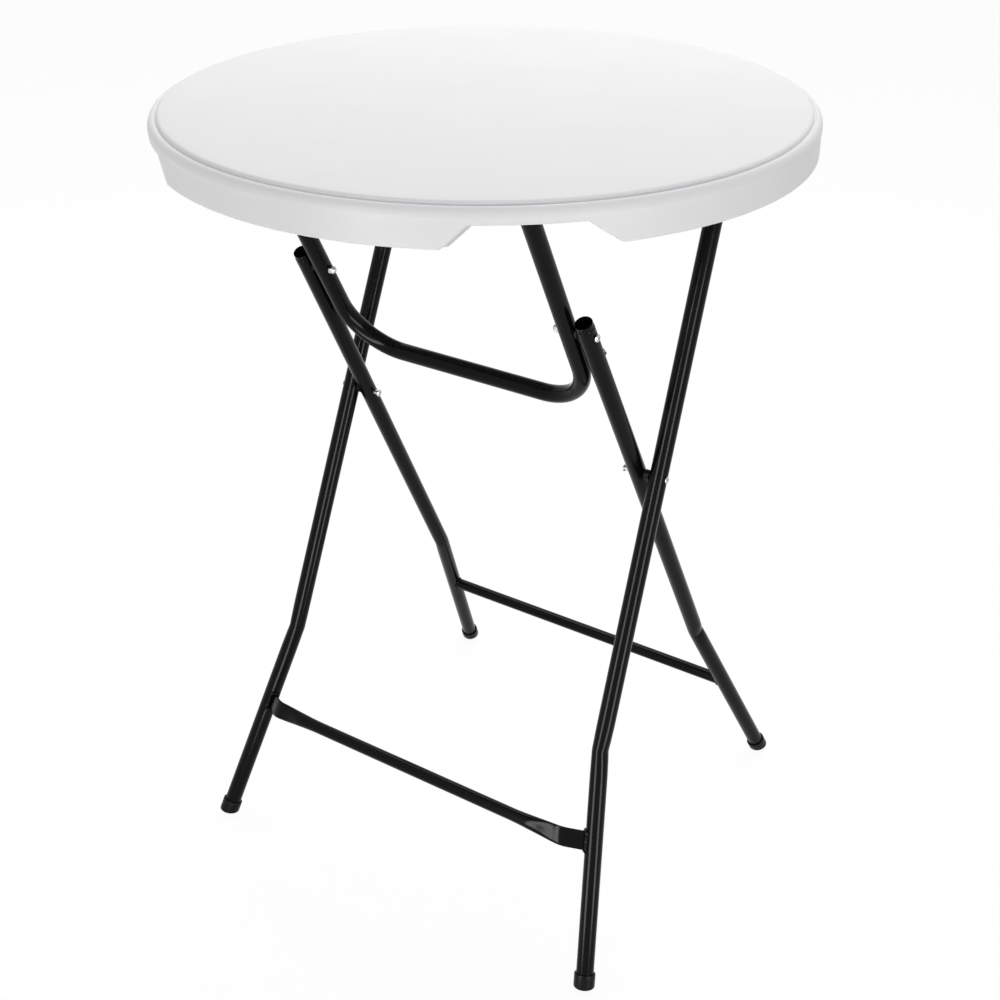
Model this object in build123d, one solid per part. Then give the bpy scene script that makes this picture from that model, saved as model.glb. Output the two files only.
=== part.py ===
from build123d import *
import math
import os

os.makedirs("parts", exist_ok=True)

# A folding garden table: a round moulded top carried by two crossing tube frames.
# Lengths are millimetres. +Z is up, -Y is the front, X runs along the hinges, and
# the origin is on the floor under the middle of the top.

# Overall size and the side view that the folding linkage follows from
table_height = 1100.0
top_diameter = 800.0
pivot_drop = 40.0
outer_foot_reach = 236.0
inner_foot_reach = 377.0

# Moulded top
panel_thickness = 22.0
skirt_depth = 48.0
skirt_wall = 14.0
plateau_edge_radius = 4.2
groove_width = 2.0
groove_depth = 5.5
bead_width = 9.0
bead_shoulder = 1.5
bead_height = 11.0
apron_set_in = 0.5
skirt_edge_radius = 2.0
recess_corner_radius = 4.0
notch_outset = 21.0
notch_half_base = 70.0
notch_half_top = 46.5
notch_corner_radius = 6.0
dimple_pitch = 92.0
dimple_mouth_radius = 15.0
dimple_floor_radius = 9.0
dimple_depth = 12.0
dimple_edge_margin = 26.0

# Tubes
outer_tube_diameter = 24.0
inner_tube_diameter = 23.0
hoop_tube_diameter = 23.0
crossbar_diameter = 17.5
tube_wall = 1.2
knee_radius = 45.0
hoop_bend_radius = 75.0
tube_end_past_pivot = 9.0

# Widths across the table. The outer frame sets them at its top pivots, and the inner
# frame and the hoop nest inside it, by the gaps left between the walls of the tubes.
outer_half_at_pivot = 236.4
upper_splay_degrees = 1.85
cross_wall_gap = 7.0
hinge_wall_gap = 4.4
outer_foot_splay = 59.5
inner_foot_splay = 55.0

# Places along the tubes
outer_knee_rise = 325.0
inner_knee_rise = 339.0
inner_leg_past_hinge = 22.0
hoop_reach = 349.5

# Crossbars
outer_bar_rise = 200.5
outer_bar_standoff = 26.0
tongue_run = 50.0
tongue_taper = 53.0
tongue_height = 24.5
tongue_thickness = 5.0
inner_bar_rise = 199.5

# Foot caps
cap_wall = 2.5
cap_length = 22.5
cap_sole = 12.0
cap_top_round = 1.5
cap_sole_round = 1.0
cap_fit = 0.05

# Hinge brackets under the top
bracket_skirt_gap = 38.7
bracket_sheet = 2.0
bracket_side_clearance = 0.9
bracket_ear_radius = 13.0
bracket_flange = 15.0
bracket_half_length = 26.0
bracket_corner_radius = 4.0
stop_clearance = 0.3
stop_start = 10.5
stop_length = 9.0
bracket_screw_spacing = 34.0

# Screws that hold the brackets
screw_diameter = 4.8
screw_head_diameter = 9.0
screw_head_height = 2.4
screw_grip = 10.0
screw_hole_past_tip = 2.0
screw_clearance = 0.1

# Hinge bolts, nuts and washers
bolt_diameter = 6.0
bolt_fit = 0.05
low_head_diameter = 12.0
low_head_height = 2.8
hinge_head_diameter = 10.0
hinge_head_height = 3.0
nut_across_flats = 10.0
nut_height = 5.0
thin_nut_height = 3.0
nut_corner_chamfer = 0.8
thread_past_nut = 0.8
cap_nut_length = 8.5
cap_nut_dome_radius = 4.2
cap_nut_end_wall = 2.2
washer_radius = 6.5
hinge_gap = 0.6

# Screw in the back of each inner leg
leg_screw_below_hinge = 40.0
leg_screw_head_diameter = 15.0
leg_screw_head_height = 5.0
leg_screw_diameter = 5.0
leg_screw_length = 12.0

# How far a cutter runs past the surface that it opens
overrun = 5.0

# The part of a head's height that its rounded rim takes
head_round_share = 0.7

# A quarter turn, in degrees
quarter_turn = 90.0

# Values that follow from the sizes above
top_radius = top_diameter / 2
underside = table_height - panel_thickness
skirt_bottom = table_height - skirt_depth
pivot_height = table_height - pivot_drop
bracket_rise = underside - pivot_height
outer_radius = outer_tube_diameter / 2
inner_radius = inner_tube_diameter / 2
hoop_radius = hoop_tube_diameter / 2
bar_radius = crossbar_diameter / 2
bolt_radius = bolt_diameter / 2
bolt_hole_radius = bolt_radius + bolt_fit
tilt = math.radians(upper_splay_degrees)
splay = math.tan(tilt)

# The outer brackets stand in the recess with their corners near the skirt, and that
# places the top pivots.
outer_ear_gap = outer_radius + bracket_side_clearance
hoop_ear_gap = hoop_radius + bracket_side_clearance
bracket_corner_x = outer_half_at_pivot + outer_ear_gap + bracket_sheet + bracket_flange
bracket_circle = top_radius - skirt_wall - bracket_skirt_gap
pivot_setback = math.sqrt(bracket_circle**2 - bracket_corner_x**2) - bracket_half_length

outer_length = math.hypot(pivot_setback + outer_foot_reach, pivot_height)
inner_length = math.hypot(pivot_setback + inner_foot_reach, pivot_height)
pivot_span = 2 * pivot_setback
foot_span = outer_foot_reach + inner_foot_reach
crossing_share = foot_span / (foot_span + pivot_span)
outer_crossing = outer_length * crossing_share
inner_crossing = inner_length * crossing_share

# Hoop arm and inner leg lie in one line when open. The arm's length is the one
# that lets all four links lie flat in the plane of the top pivots when folded.
outer_link = outer_length - outer_crossing
inner_line = inner_length - inner_crossing
hoop_link = (inner_line + pivot_span - outer_link) / 2
hinge_rise = inner_length - hoop_link

# Half widths to the tube centres, from the outer frame inwards and then down
outer_wall = outer_radius / math.cos(tilt)
inner_wall = inner_radius / math.cos(tilt)
outer_cross_half = outer_half_at_pivot + outer_link * splay
inner_cross_half = outer_cross_half - outer_wall - cross_wall_gap - inner_wall
inner_hinge_half = inner_cross_half - (hinge_rise - inner_crossing) * splay
hoop_half_width = inner_hinge_half - inner_wall - hinge_wall_gap - hoop_radius
outer_half_at_knee = outer_half_at_pivot + (outer_length - outer_knee_rise) * splay
inner_half_at_knee = inner_hinge_half + (hinge_rise - inner_knee_rise) * splay
outer_half_at_foot = outer_half_at_knee + outer_foot_splay
inner_half_at_foot = inner_half_at_knee + inner_foot_splay


def frame_plane(foot_y, pivot_y):
    """The plane of a frame: x across the table, y up the leg from its foot."""
    up = Vector(0, pivot_y - foot_y, pivot_height)
    across = Vector(1, 0, 0)
    return Plane(origin=(0, foot_y, 0), x_dir=across, z_dir=across.cross(up))


outer_plane = frame_plane(-outer_foot_reach, pivot_setback)
inner_plane = frame_plane(inner_foot_reach, -pivot_setback)


def outer_half(rise):
    """Half width of the outer frame at a distance up its leg."""
    if rise < outer_knee_rise:
        return outer_half_at_foot - outer_foot_splay * rise / outer_knee_rise
    return outer_half_at_knee - (rise - outer_knee_rise) * splay


def inner_half(rise):
    """Half width of the inner frame at a distance up its leg."""
    if rise < inner_knee_rise:
        return inner_half_at_foot - inner_foot_splay * rise / inner_knee_rise
    return inner_half_at_knee - (rise - inner_knee_rise) * splay


# Hinge axes, as points in the side view
outer_pivot = Vector(0, pivot_setback, pivot_height)
hoop_pivot = Vector(0, -pivot_setback, pivot_height)
crossing = outer_plane.from_local_coords((0, outer_crossing, 0))
hinge = inner_plane.from_local_coords((0, hinge_rise, 0))

parts = {}


def add_pair(name, right):
    """Store a piece of the right side and its mirror image on the left."""
    parts[name + "_right"] = right
    parts[name + "_left"] = mirror(right, about=Plane.YZ)


def rod(axis, x_start, x_end, radius):
    """A round bar along X on a hinge axis."""
    base = Plane(origin=(x_start, axis.Y, axis.Z), x_dir=(0, 1, 0), z_dir=(1, 0, 0))
    return extrude(base * Circle(radius), x_end - x_start)


def outer_face(solid, away):
    """The face of a fastener that is furthest along X in one sense."""
    return solid.faces().sort_by(Axis.X)[-1 if away > 0 else 0]


def nut(axis, x_seat, away, height):
    """A hexagon nut on its seat, with chamfered corners on the free side."""
    base = Plane(origin=(x_seat, axis.Y, axis.Z), x_dir=(0, 1, 0), z_dir=(1, 0, 0))
    hexagon = RegularPolygon(nut_across_flats / 2, 6, major_radius=False)
    blank = extrude(base * hexagon, away * height)
    corner_radius = nut_across_flats / 2 / math.cos(math.pi / 6)
    envelope = rod(axis, x_seat, x_seat + away * height, corner_radius)
    envelope = chamfer(outer_face(envelope, away).edges(), nut_corner_chamfer)
    bore = rod(axis, x_seat, x_seat + away * height, bolt_hole_radius)
    return (blank & envelope) - bore


def cap_nut(axis, x_seat, away):
    """A domed nut that closes the end of a bolt."""
    base = Plane(origin=(x_seat, axis.Y, axis.Z), x_dir=(0, 1, 0), z_dir=(1, 0, 0))
    hexagon = RegularPolygon(nut_across_flats / 2, 6, major_radius=False)
    body = extrude(base * hexagon, away * nut_height)
    dome = rod(axis, x_seat, x_seat + away * cap_nut_length, cap_nut_dome_radius)
    dome = fillet(outer_face(dome, away).edges(), cap_nut_dome_radius * head_round_share)
    depth = cap_nut_length - cap_nut_end_wall
    return body + dome - rod(axis, x_seat, x_seat + away * depth, bolt_hole_radius)


def bolt(axis, x_seat, x_tip, head_diameter, head_height):
    """A bolt with a low domed head on its seat and a plain shank."""
    away = math.copysign(1, x_seat - x_tip)
    head = rod(axis, x_seat, x_seat + away * head_height, head_diameter / 2)
    head = fillet(outer_face(head, away).edges(), head_height * head_round_share)
    return head + rod(axis, x_seat, x_tip, bolt_radius)


def washer(axis, x_start, x_end):
    """A plain washer on a hinge bolt."""
    return rod(axis, x_start, x_end, washer_radius) - rod(axis, x_start, x_end, bolt_hole_radius)


def bolt_hole(axis, half_width, tube_radius):
    """The cutter for a bolt hole across a tube of the right side."""
    reach = tube_radius + overrun
    return rod(axis, half_width - reach, half_width + reach, bolt_hole_radius)


def swept(plane, corners, bend_radius, radius):
    """A solid bar of one radius along straight runs and tangent arcs."""
    path = plane * FilletPolyline(*corners, radius=bend_radius)
    start = Plane(origin=path @ 0, z_dir=path % 0)
    return sweep(start * Circle(radius), path=path)


def bent_tube(plane, corners, bend_radius, radius):
    """A round tube with open ends."""
    skin = swept(plane, corners, bend_radius, radius)
    return skin - swept(plane, corners, bend_radius, radius - tube_wall)


def leg_corners(foot_half, knee_half, knee_rise, top_half, top_rise):
    """The centre line of a leg, from just above its sole up to its top end."""
    slope = math.hypot(foot_half - knee_half, knee_rise)
    share = cap_sole / slope
    start = (foot_half + share * (knee_half - foot_half), share * knee_rise)
    return [start, (knee_half, knee_rise), (top_half, top_rise)]


def top_profile():
    """Half section of the top, from its middle out over the bead and back inside."""
    plateau = top_radius - bead_width - groove_width
    crown = top_radius - bead_width + bead_shoulder
    bead_top = table_height - groove_depth + bead_shoulder
    bead_foot = bead_top - bead_height
    apron = top_radius - apron_set_in
    inside = top_radius - skirt_wall
    round_end = table_height - plateau_edge_radius
    floor = table_height - groove_depth
    with BuildLine() as outline:
        Line((0, table_height), (plateau - plateau_edge_radius, table_height))
        RadiusArc((plateau - plateau_edge_radius, table_height), (plateau, round_end), plateau_edge_radius)
        Polyline((plateau, round_end), (plateau, floor), (top_radius - bead_width, floor))
        RadiusArc((top_radius - bead_width, floor), (crown, bead_top), bead_shoulder)
        EllipticalCenterArc((crown, bead_foot), top_radius - crown, bead_height, arc_size=quarter_turn)
        Line((top_radius, bead_foot), (apron, bead_foot - bead_shoulder))
        Line((apron, bead_foot - bead_shoulder), (apron, skirt_bottom + skirt_edge_radius))
        RadiusArc(
            (apron, skirt_bottom + skirt_edge_radius),
            (apron - skirt_edge_radius, skirt_bottom),
            skirt_edge_radius,
        )
        Line((apron - skirt_edge_radius, skirt_bottom), (inside, skirt_bottom))
        Line((inside, skirt_bottom), (inside, underside - recess_corner_radius))
        RadiusArc(
            (inside, underside - recess_corner_radius),
            (inside - recess_corner_radius, underside),
            -recess_corner_radius,
        )
        Polyline((inside - recess_corner_radius, underside), (0, underside), (0, table_height))
    return Plane.XZ * make_face(outline.edges())


def leg_notch():
    """The cutter for the opening in the front skirt that the folded legs lie in."""
    mouth = skirt_bottom - overrun
    lip = notch_half_base + notch_corner_radius
    with BuildLine() as outline:
        FilletPolyline(
            (-lip, skirt_bottom),
            (-notch_half_base, skirt_bottom),
            (-notch_half_top, underside),
            (notch_half_top, underside),
            (notch_half_base, skirt_bottom),
            (lip, skirt_bottom),
            radius=notch_corner_radius,
        )
        Polyline((lip, skirt_bottom), (lip, mouth), (-lip, mouth), (-lip, skirt_bottom))
    notch_centre = (outer_cross_half + inner_cross_half) / 2 + notch_outset
    front = Plane(origin=(notch_centre, -top_radius - overrun, 0), x_dir=(1, 0, 0), z_dir=(0, -1, 0))
    return extrude(front * make_face(outline.edges()), -top_radius)


bracket_places = [
    (outer_half_at_pivot, pivot_setback, outer_ear_gap),
    (hoop_half_width, -pivot_setback, hoop_ear_gap),
]


def screw_places(x_centre, y_centre, ear_gap):
    """Where the four screws of a bracket go, in plan."""
    x_offset = ear_gap + bracket_sheet + bracket_flange / 2
    y_offset = bracket_screw_spacing / 2
    return [(x_centre + i * x_offset, y_centre + j * y_offset) for i in (-1, 1) for j in (-1, 1)]


def near_bracket(x, y):
    """Whether a dimple would run under a bracket's base plate."""
    for x_centre, y_centre, ear_gap in bracket_places:
        half_width = ear_gap + bracket_sheet + bracket_flange
        clear_x = abs(abs(x) - x_centre) > half_width + dimple_mouth_radius
        clear_y = abs(y - y_centre) > bracket_half_length + dimple_mouth_radius
        if not (clear_x or clear_y):
            return True
    return False


def dimple_places():
    """A staggered pattern of the cones that tie the two skins of the top together."""
    reach = top_radius - skirt_wall - dimple_edge_margin
    row_pitch = dimple_pitch * math.sqrt(3) / 2
    rows = int(reach / row_pitch)
    columns = int(reach / dimple_pitch) + 1
    places = []
    for row in range(-rows, rows + 1):
        shift = dimple_pitch / 2 if row % 2 else 0
        for column in range(-columns, columns + 1):
            x = column * dimple_pitch + shift
            y = row * row_pitch
            if math.hypot(x, y) < reach and not near_bracket(x, y):
                places.append((x, y))
    return places


def make_top():
    """The moulded top with its skirt, notches, dimples and screw holes."""
    top = revolve(top_profile(), Axis.Z)
    notch = leg_notch()
    top -= notch
    top -= mirror(notch, about=Plane.YZ)
    base = Plane(origin=(0, 0, underside))
    dimple_floor = base.offset(dimple_depth) * Circle(dimple_floor_radius)
    dimple = loft([base * Circle(dimple_mouth_radius), dimple_floor])
    top -= [Pos(x, y, 0) * dimple for x, y in dimple_places()]
    hole = extrude(base * Circle(screw_diameter / 2 + screw_clearance), screw_grip + screw_hole_past_tip)
    for place in bracket_places:
        for x, y in screw_places(*place):
            top -= [Pos(x, y, 0) * hole, Pos(-x, y, 0) * hole]
    return top


def make_bracket(tube_radius, ear_gap, lean):
    """A bracket with its pivot at the origin and its stop on the +Y side.

    The stop is the strip between the ears that the opened tube lies against. It
    starts far enough below the pivot for the tube's square end to swing past.
    """
    along = Vector(math.cos(lean), math.sin(lean))
    side = Vector(math.sin(lean), -math.cos(lean))
    near = tube_radius + stop_clearance
    far = near + bracket_sheet
    stop_end = stop_start + stop_length
    high_near = side * near - along * stop_start
    high_far = side * far - along * stop_start
    low_near = side * near - along * stop_end
    low_far = side * far - along * stop_end
    plate_bottom = bracket_rise - bracket_sheet

    corners = [
        (-bracket_ear_radius, bracket_rise),
        (far, bracket_rise),
        (high_far.X, high_far.Y),
        (low_far.X, low_far.Y),
        (low_near.X, low_near.Y),
    ]
    outline = Polyline(*corners, close=True).edges()
    ear_face = make_hull(outline + [Edge.make_circle(bracket_ear_radius)])
    ear = extrude(Plane.YZ * ear_face, bracket_sheet)
    ears = Pos(ear_gap, 0, 0) * ear + Pos(-ear_gap - bracket_sheet, 0, 0) * ear

    strip = [(point.X, point.Y) for point in (high_near, high_far, low_far, low_near)]
    stop = extrude(Plane.YZ * Polygon(*strip, align=None), ear_gap + bracket_sheet / 2, both=True)

    half_width = ear_gap + bracket_sheet + bracket_flange
    plate_face = RectangleRounded(2 * half_width, 2 * bracket_half_length, bracket_corner_radius)
    plate = extrude(Plane(origin=(0, 0, plate_bottom)) * plate_face, bracket_sheet)
    bracket = ears + stop + plate

    centre = Vector(0, 0, 0)
    reach = half_width + overrun
    bracket -= rod(centre, -reach, reach, bolt_hole_radius)
    hole = extrude(
        Plane(origin=(0, 0, plate_bottom - overrun)) * Circle(screw_diameter / 2 + screw_clearance),
        bracket_sheet + 2 * overrun,
    )
    bracket -= [Pos(x, y, 0) * hole for x, y in screw_places(0, 0, ear_gap)]
    return bracket


def make_bracket_screws():
    """All the screws that hold the four brackets, as separate solids."""
    seat = Plane(origin=(0, 0, underside - bracket_sheet))
    head = extrude(seat * Circle(screw_head_diameter / 2), -screw_head_height)
    head = fillet(head.faces().sort_by(Axis.Z)[0].edges(), screw_head_height * head_round_share)
    screw = head + extrude(seat * Circle(screw_diameter / 2), bracket_sheet + screw_grip)
    places = [place for bracket in bracket_places for place in screw_places(*bracket)]
    return Compound([Pos(side * x, y, 0) * screw for x, y in places for side in (-1, 1)])


def make_cap(plane, foot_half, knee_half, knee_rise, tube_radius):
    """A moulded cap on the end of a leg, cut flat where it stands on the floor."""
    foot = plane.from_local_coords((foot_half, 0, 0))
    knee = plane.from_local_coords((knee_half, knee_rise, 0))
    along = Plane(origin=foot, z_dir=knee - foot)
    radius = tube_radius + cap_wall
    cap = extrude(along.offset(-cap_length) * Circle(radius), 2 * cap_length)
    cap = fillet(cap.edges().sort_by(Axis.Z)[-1], cap_top_round)
    bore = extrude(along.offset(cap_sole) * Circle(tube_radius + cap_fit), cap_length + overrun)
    cap = split(cap - bore, bisect_by=Plane.XY, keep=Keep.TOP)
    return fillet(cap.faces().sort_by(Axis.Z)[0].edges(), cap_sole_round)


def flat_section(x, offset, half_height, half_thickness, flat):
    """The outline of the outer crossbar at a place along it, round or pressed flat."""
    centre = (x, outer_bar_rise, offset)
    plane = Plane(
        origin=outer_plane.from_local_coords(centre),
        x_dir=outer_plane.y_dir,
        z_dir=outer_plane.x_dir,
    )
    if flat:
        corner_high, corner_out = half_height - half_thickness, half_thickness
    else:
        corner_high, corner_out = half_height * math.sqrt(0.5), half_thickness * math.sqrt(0.5)
    upper_back = (corner_high, -corner_out)
    upper_front = (corner_high, corner_out)
    lower_front = (-corner_high, corner_out)
    lower_back = (-corner_high, -corner_out)
    with BuildLine() as outline:
        ThreePointArc(upper_back, (half_height, 0), upper_front)
        if flat:
            Line(upper_front, lower_front)
        else:
            ThreePointArc(upper_front, (0, half_thickness), lower_front)
        ThreePointArc(lower_front, (-half_height, 0), lower_back)
        if flat:
            Line(lower_back, upper_back)
        else:
            ThreePointArc(lower_back, (0, -half_thickness), upper_back)
    return plane * make_face(outline.edges())


def crossbar_skin(inset):
    """The outer crossbar as a solid bar, made smaller all round by an inset."""
    round_half = bar_radius - inset
    high = tongue_height / 2 - inset
    thick = tongue_thickness / 2 - inset
    end_x = outer_half(outer_bar_rise)
    end_offset = outer_radius + tongue_thickness / 2
    flat_x = end_x - tongue_run
    round_x = flat_x - tongue_taper
    middle = flat_section(-round_x, outer_bar_standoff, round_half, round_half, False)
    bar = extrude(middle, 2 * round_x, dir=(1, 0, 0))
    round_end = flat_section(round_x, outer_bar_standoff, round_half, round_half, False)
    flat_start = flat_section(flat_x, outer_bar_standoff, high, thick, True)
    flat_end = flat_section(end_x, end_offset, high, thick, True)
    side = loft([round_end, flat_start]) + loft([flat_start, flat_end], ruled=True)
    return bar + side + mirror(side, about=Plane.YZ)


def make_inner_crossbar(leg_skin):
    """The rear crossbar, its ends shaped to the legs that they are welded to."""
    half = inner_half(inner_bar_rise)
    plane = Plane(
        origin=inner_plane.from_local_coords((-half, inner_bar_rise, 0)),
        x_dir=inner_plane.y_dir,
        z_dir=(1, 0, 0),
    )
    bore = extrude(plane * Circle(bar_radius - tube_wall), 2 * half)
    tube = extrude(plane * Circle(bar_radius), 2 * half) - bore
    return tube - leg_skin - mirror(leg_skin, about=Plane.YZ)


def make_leg_screw():
    """A domed screw in the back of the right inner leg, and the hole that it sits in."""
    rise = hinge_rise - leg_screw_below_hinge
    seat = Plane(
        origin=inner_plane.from_local_coords((inner_half(rise), rise, -inner_radius)),
        x_dir=(1, 0, 0),
        z_dir=-inner_plane.z_dir,
    )
    head = extrude(seat * Circle(leg_screw_head_diameter / 2), leg_screw_head_height)
    rim = head.edges().sort_by(lambda edge: seat.to_local_coords(edge.center()).Z)[-1]
    head = fillet(rim, leg_screw_head_height * head_round_share)
    screw = head + extrude(seat * Circle(leg_screw_diameter / 2), -leg_screw_length)
    hole = extrude(seat.offset(overrun) * Circle(leg_screw_diameter / 2 + bolt_fit), -inner_radius - overrun)
    return screw, hole


# Top and brackets
outer_lean = math.atan2(pivot_height, pivot_setback + outer_foot_reach)
hoop_lean = math.atan2(pivot_height, pivot_setback + inner_foot_reach)
parts["table_top"] = make_top()
outer_bracket = make_bracket(outer_radius, outer_ear_gap, outer_lean)
hoop_bracket = make_bracket(hoop_radius, hoop_ear_gap, hoop_lean)
add_pair("outer_bracket", Pos(outer_half_at_pivot, pivot_setback, pivot_height) * outer_bracket)
add_pair("hoop_bracket", Pos(hoop_half_width, -pivot_setback, pivot_height) * Rot(0, 0, 180) * hoop_bracket)
parts["bracket_screws"] = make_bracket_screws()

# Bolts of the top pivots: heads on the outside, nuts on the inside
for name, axis, half, ear_gap in (
    ("outer_pivot", outer_pivot, outer_half_at_pivot, outer_ear_gap),
    ("hoop_pivot", hoop_pivot, hoop_half_width, hoop_ear_gap),
):
    seat_out = half + ear_gap + bracket_sheet
    seat_in = half - ear_gap - bracket_sheet
    tip = seat_in - nut_height - thread_past_nut
    add_pair(name + "_bolt", bolt(axis, seat_out, tip, low_head_diameter, low_head_height))
    add_pair(name + "_nut", nut(axis, seat_in, -1, nut_height))

# Outer frame
outer_path = leg_corners(
    outer_half_at_foot,
    outer_half_at_knee,
    outer_knee_rise,
    outer_half(outer_length + tube_end_past_pivot),
    outer_length + tube_end_past_pivot,
)
outer_leg = bent_tube(outer_plane, outer_path, knee_radius, outer_radius)
outer_leg -= bolt_hole(outer_pivot, outer_half_at_pivot, outer_radius)
outer_leg -= bolt_hole(crossing, outer_cross_half, outer_radius)
add_pair("outer_leg", outer_leg)
parts["outer_crossbar"] = crossbar_skin(0) - crossbar_skin(tube_wall)
add_pair(
    "outer_foot",
    make_cap(outer_plane, outer_half_at_foot, outer_half_at_knee, outer_knee_rise, outer_radius),
)

# Inner frame
inner_top_rise = hinge_rise + inner_leg_past_hinge
inner_path = leg_corners(
    inner_half_at_foot,
    inner_half_at_knee,
    inner_knee_rise,
    inner_half(inner_top_rise),
    inner_top_rise,
)
leg_screw, leg_screw_hole = make_leg_screw()
inner_leg = bent_tube(inner_plane, inner_path, knee_radius, inner_radius)
inner_leg -= bolt_hole(crossing, inner_cross_half, inner_radius)
inner_leg -= bolt_hole(hinge, inner_hinge_half, inner_radius)
inner_leg -= leg_screw_hole
add_pair("inner_leg", inner_leg)
add_pair("leg_screw", leg_screw)
parts["inner_crossbar"] = make_inner_crossbar(swept(inner_plane, inner_path, knee_radius, inner_radius))
add_pair(
    "inner_foot",
    make_cap(inner_plane, inner_half_at_foot, inner_half_at_knee, inner_knee_rise, inner_radius),
)

# Hoop that braces the open table
hoop_top = inner_length + tube_end_past_pivot
hoop_bottom = inner_length - hoop_reach
hoop_path = [
    (hoop_half_width, hoop_top),
    (hoop_half_width, hoop_bottom),
    (-hoop_half_width, hoop_bottom),
    (-hoop_half_width, hoop_top),
]
hoop = bent_tube(inner_plane, hoop_path, hoop_bend_radius, hoop_radius)
for axis in (hoop_pivot, hinge):
    cutter = bolt_hole(axis, hoop_half_width, hoop_radius)
    hoop = hoop - cutter - mirror(cutter, about=Plane.YZ)
parts["support_hoop"] = hoop

# Hinges where the frames cross. Each bolt is in two lengths that face each other
# in the middle of the gap, with a washer on each leg.
outer_wall_x = outer_cross_half - outer_wall
inner_wall_x = inner_cross_half + inner_wall
gap_middle = (outer_wall_x + inner_wall_x) / 2
outer_washer_x = outer_wall_x - washer_radius * splay
inner_washer_x = inner_wall_x + washer_radius * splay
nut_seat = outer_cross_half + outer_wall + nut_across_flats / 2 * splay
head_seat = inner_cross_half - inner_wall - hinge_head_diameter / 2 * splay
stud_tip = nut_seat + thin_nut_height + thread_past_nut
add_pair("cross_stud", rod(crossing, gap_middle + hinge_gap / 2, stud_tip, bolt_radius))
add_pair("cross_nut", nut(crossing, nut_seat, 1, thin_nut_height))
add_pair("cross_washer_outer", washer(crossing, gap_middle + hinge_gap / 2, outer_washer_x))
add_pair("cross_washer_inner", washer(crossing, inner_washer_x, gap_middle - hinge_gap / 2))
add_pair(
    "cross_bolt",
    bolt(crossing, head_seat, gap_middle - hinge_gap / 2, hinge_head_diameter, hinge_head_height),
)

# Hinges between the hoop and the inner legs
hinge_wall_x = inner_hinge_half - inner_wall
hinge_seat = inner_hinge_half + inner_wall + hinge_head_diameter / 2 * splay + hinge_gap
hoop_seat_in = hoop_half_width - hoop_radius
hinge_tip = hoop_seat_in - cap_nut_length + cap_nut_end_wall + thread_past_nut
add_pair("hinge_bolt", bolt(hinge, hinge_seat, hinge_tip, hinge_head_diameter, hinge_head_height))
add_pair("hinge_nut", cap_nut(hinge, hoop_seat_in, -1))
add_pair("hinge_washer", washer(hinge, hoop_half_width + hoop_radius, hinge_wall_x - hinge_gap))

for node, shape in parts.items():
    shape.label = node
    export_step(shape, os.path.join("parts", node + ".step"))

print("pivot setback", round(pivot_setback, 4), "hinge", hinge, "crossing", crossing)
print("outer fold", round(math.degrees(outer_lean), 3), "hoop fold", round(math.degrees(hoop_lean), 3))
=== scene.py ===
"""Dress the folding garden table around its CAD frame, then light and frame it.

Sizes are millimetres in the part's own frame: +Z is up, -Y is the front, X runs along
the hinges and the origin is on the floor under the middle of the top. Meshes are made
in metres.
"""

from __future__ import annotations

import logging
import math
from collections.abc import Callable, Iterable, Sequence
from dataclasses import dataclass
from enum import Enum
from itertools import product

import bmesh
import bpy
from mathutils import Matrix, Vector, noise

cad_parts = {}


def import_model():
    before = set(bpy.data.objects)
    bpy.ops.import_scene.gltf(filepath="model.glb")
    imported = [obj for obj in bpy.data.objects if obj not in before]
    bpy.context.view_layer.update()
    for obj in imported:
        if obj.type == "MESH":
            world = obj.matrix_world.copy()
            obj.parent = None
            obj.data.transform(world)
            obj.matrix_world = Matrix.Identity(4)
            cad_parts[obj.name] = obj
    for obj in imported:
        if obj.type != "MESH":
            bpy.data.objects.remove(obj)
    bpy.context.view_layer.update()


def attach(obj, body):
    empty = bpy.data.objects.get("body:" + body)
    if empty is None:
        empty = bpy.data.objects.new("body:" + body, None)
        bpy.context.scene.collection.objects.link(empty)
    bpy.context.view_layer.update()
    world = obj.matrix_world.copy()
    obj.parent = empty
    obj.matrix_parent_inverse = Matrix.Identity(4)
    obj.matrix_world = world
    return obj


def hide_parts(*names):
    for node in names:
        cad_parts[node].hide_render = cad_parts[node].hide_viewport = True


MM = 0.001
LOG = logging.getLogger("garden_table")

# Points in a profile, as (radius, height)
Profile = list[tuple[float, float]]


class Slot(Enum):
    """The material slots of the part's record."""

    TOP = "moulded_hdpe"
    TUBE = "coated_steel"
    ZINC = "zinc_plated_steel"
    CAP = "cap_rubber"
    NYLON = "nylon"


class Body(Enum):
    """The bodies that the pieces ride on."""

    TOP = "top"
    OUTER = "outer_frame"
    INNER = "inner_frame"
    HOOP = "hoop"


# Sizes


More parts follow.
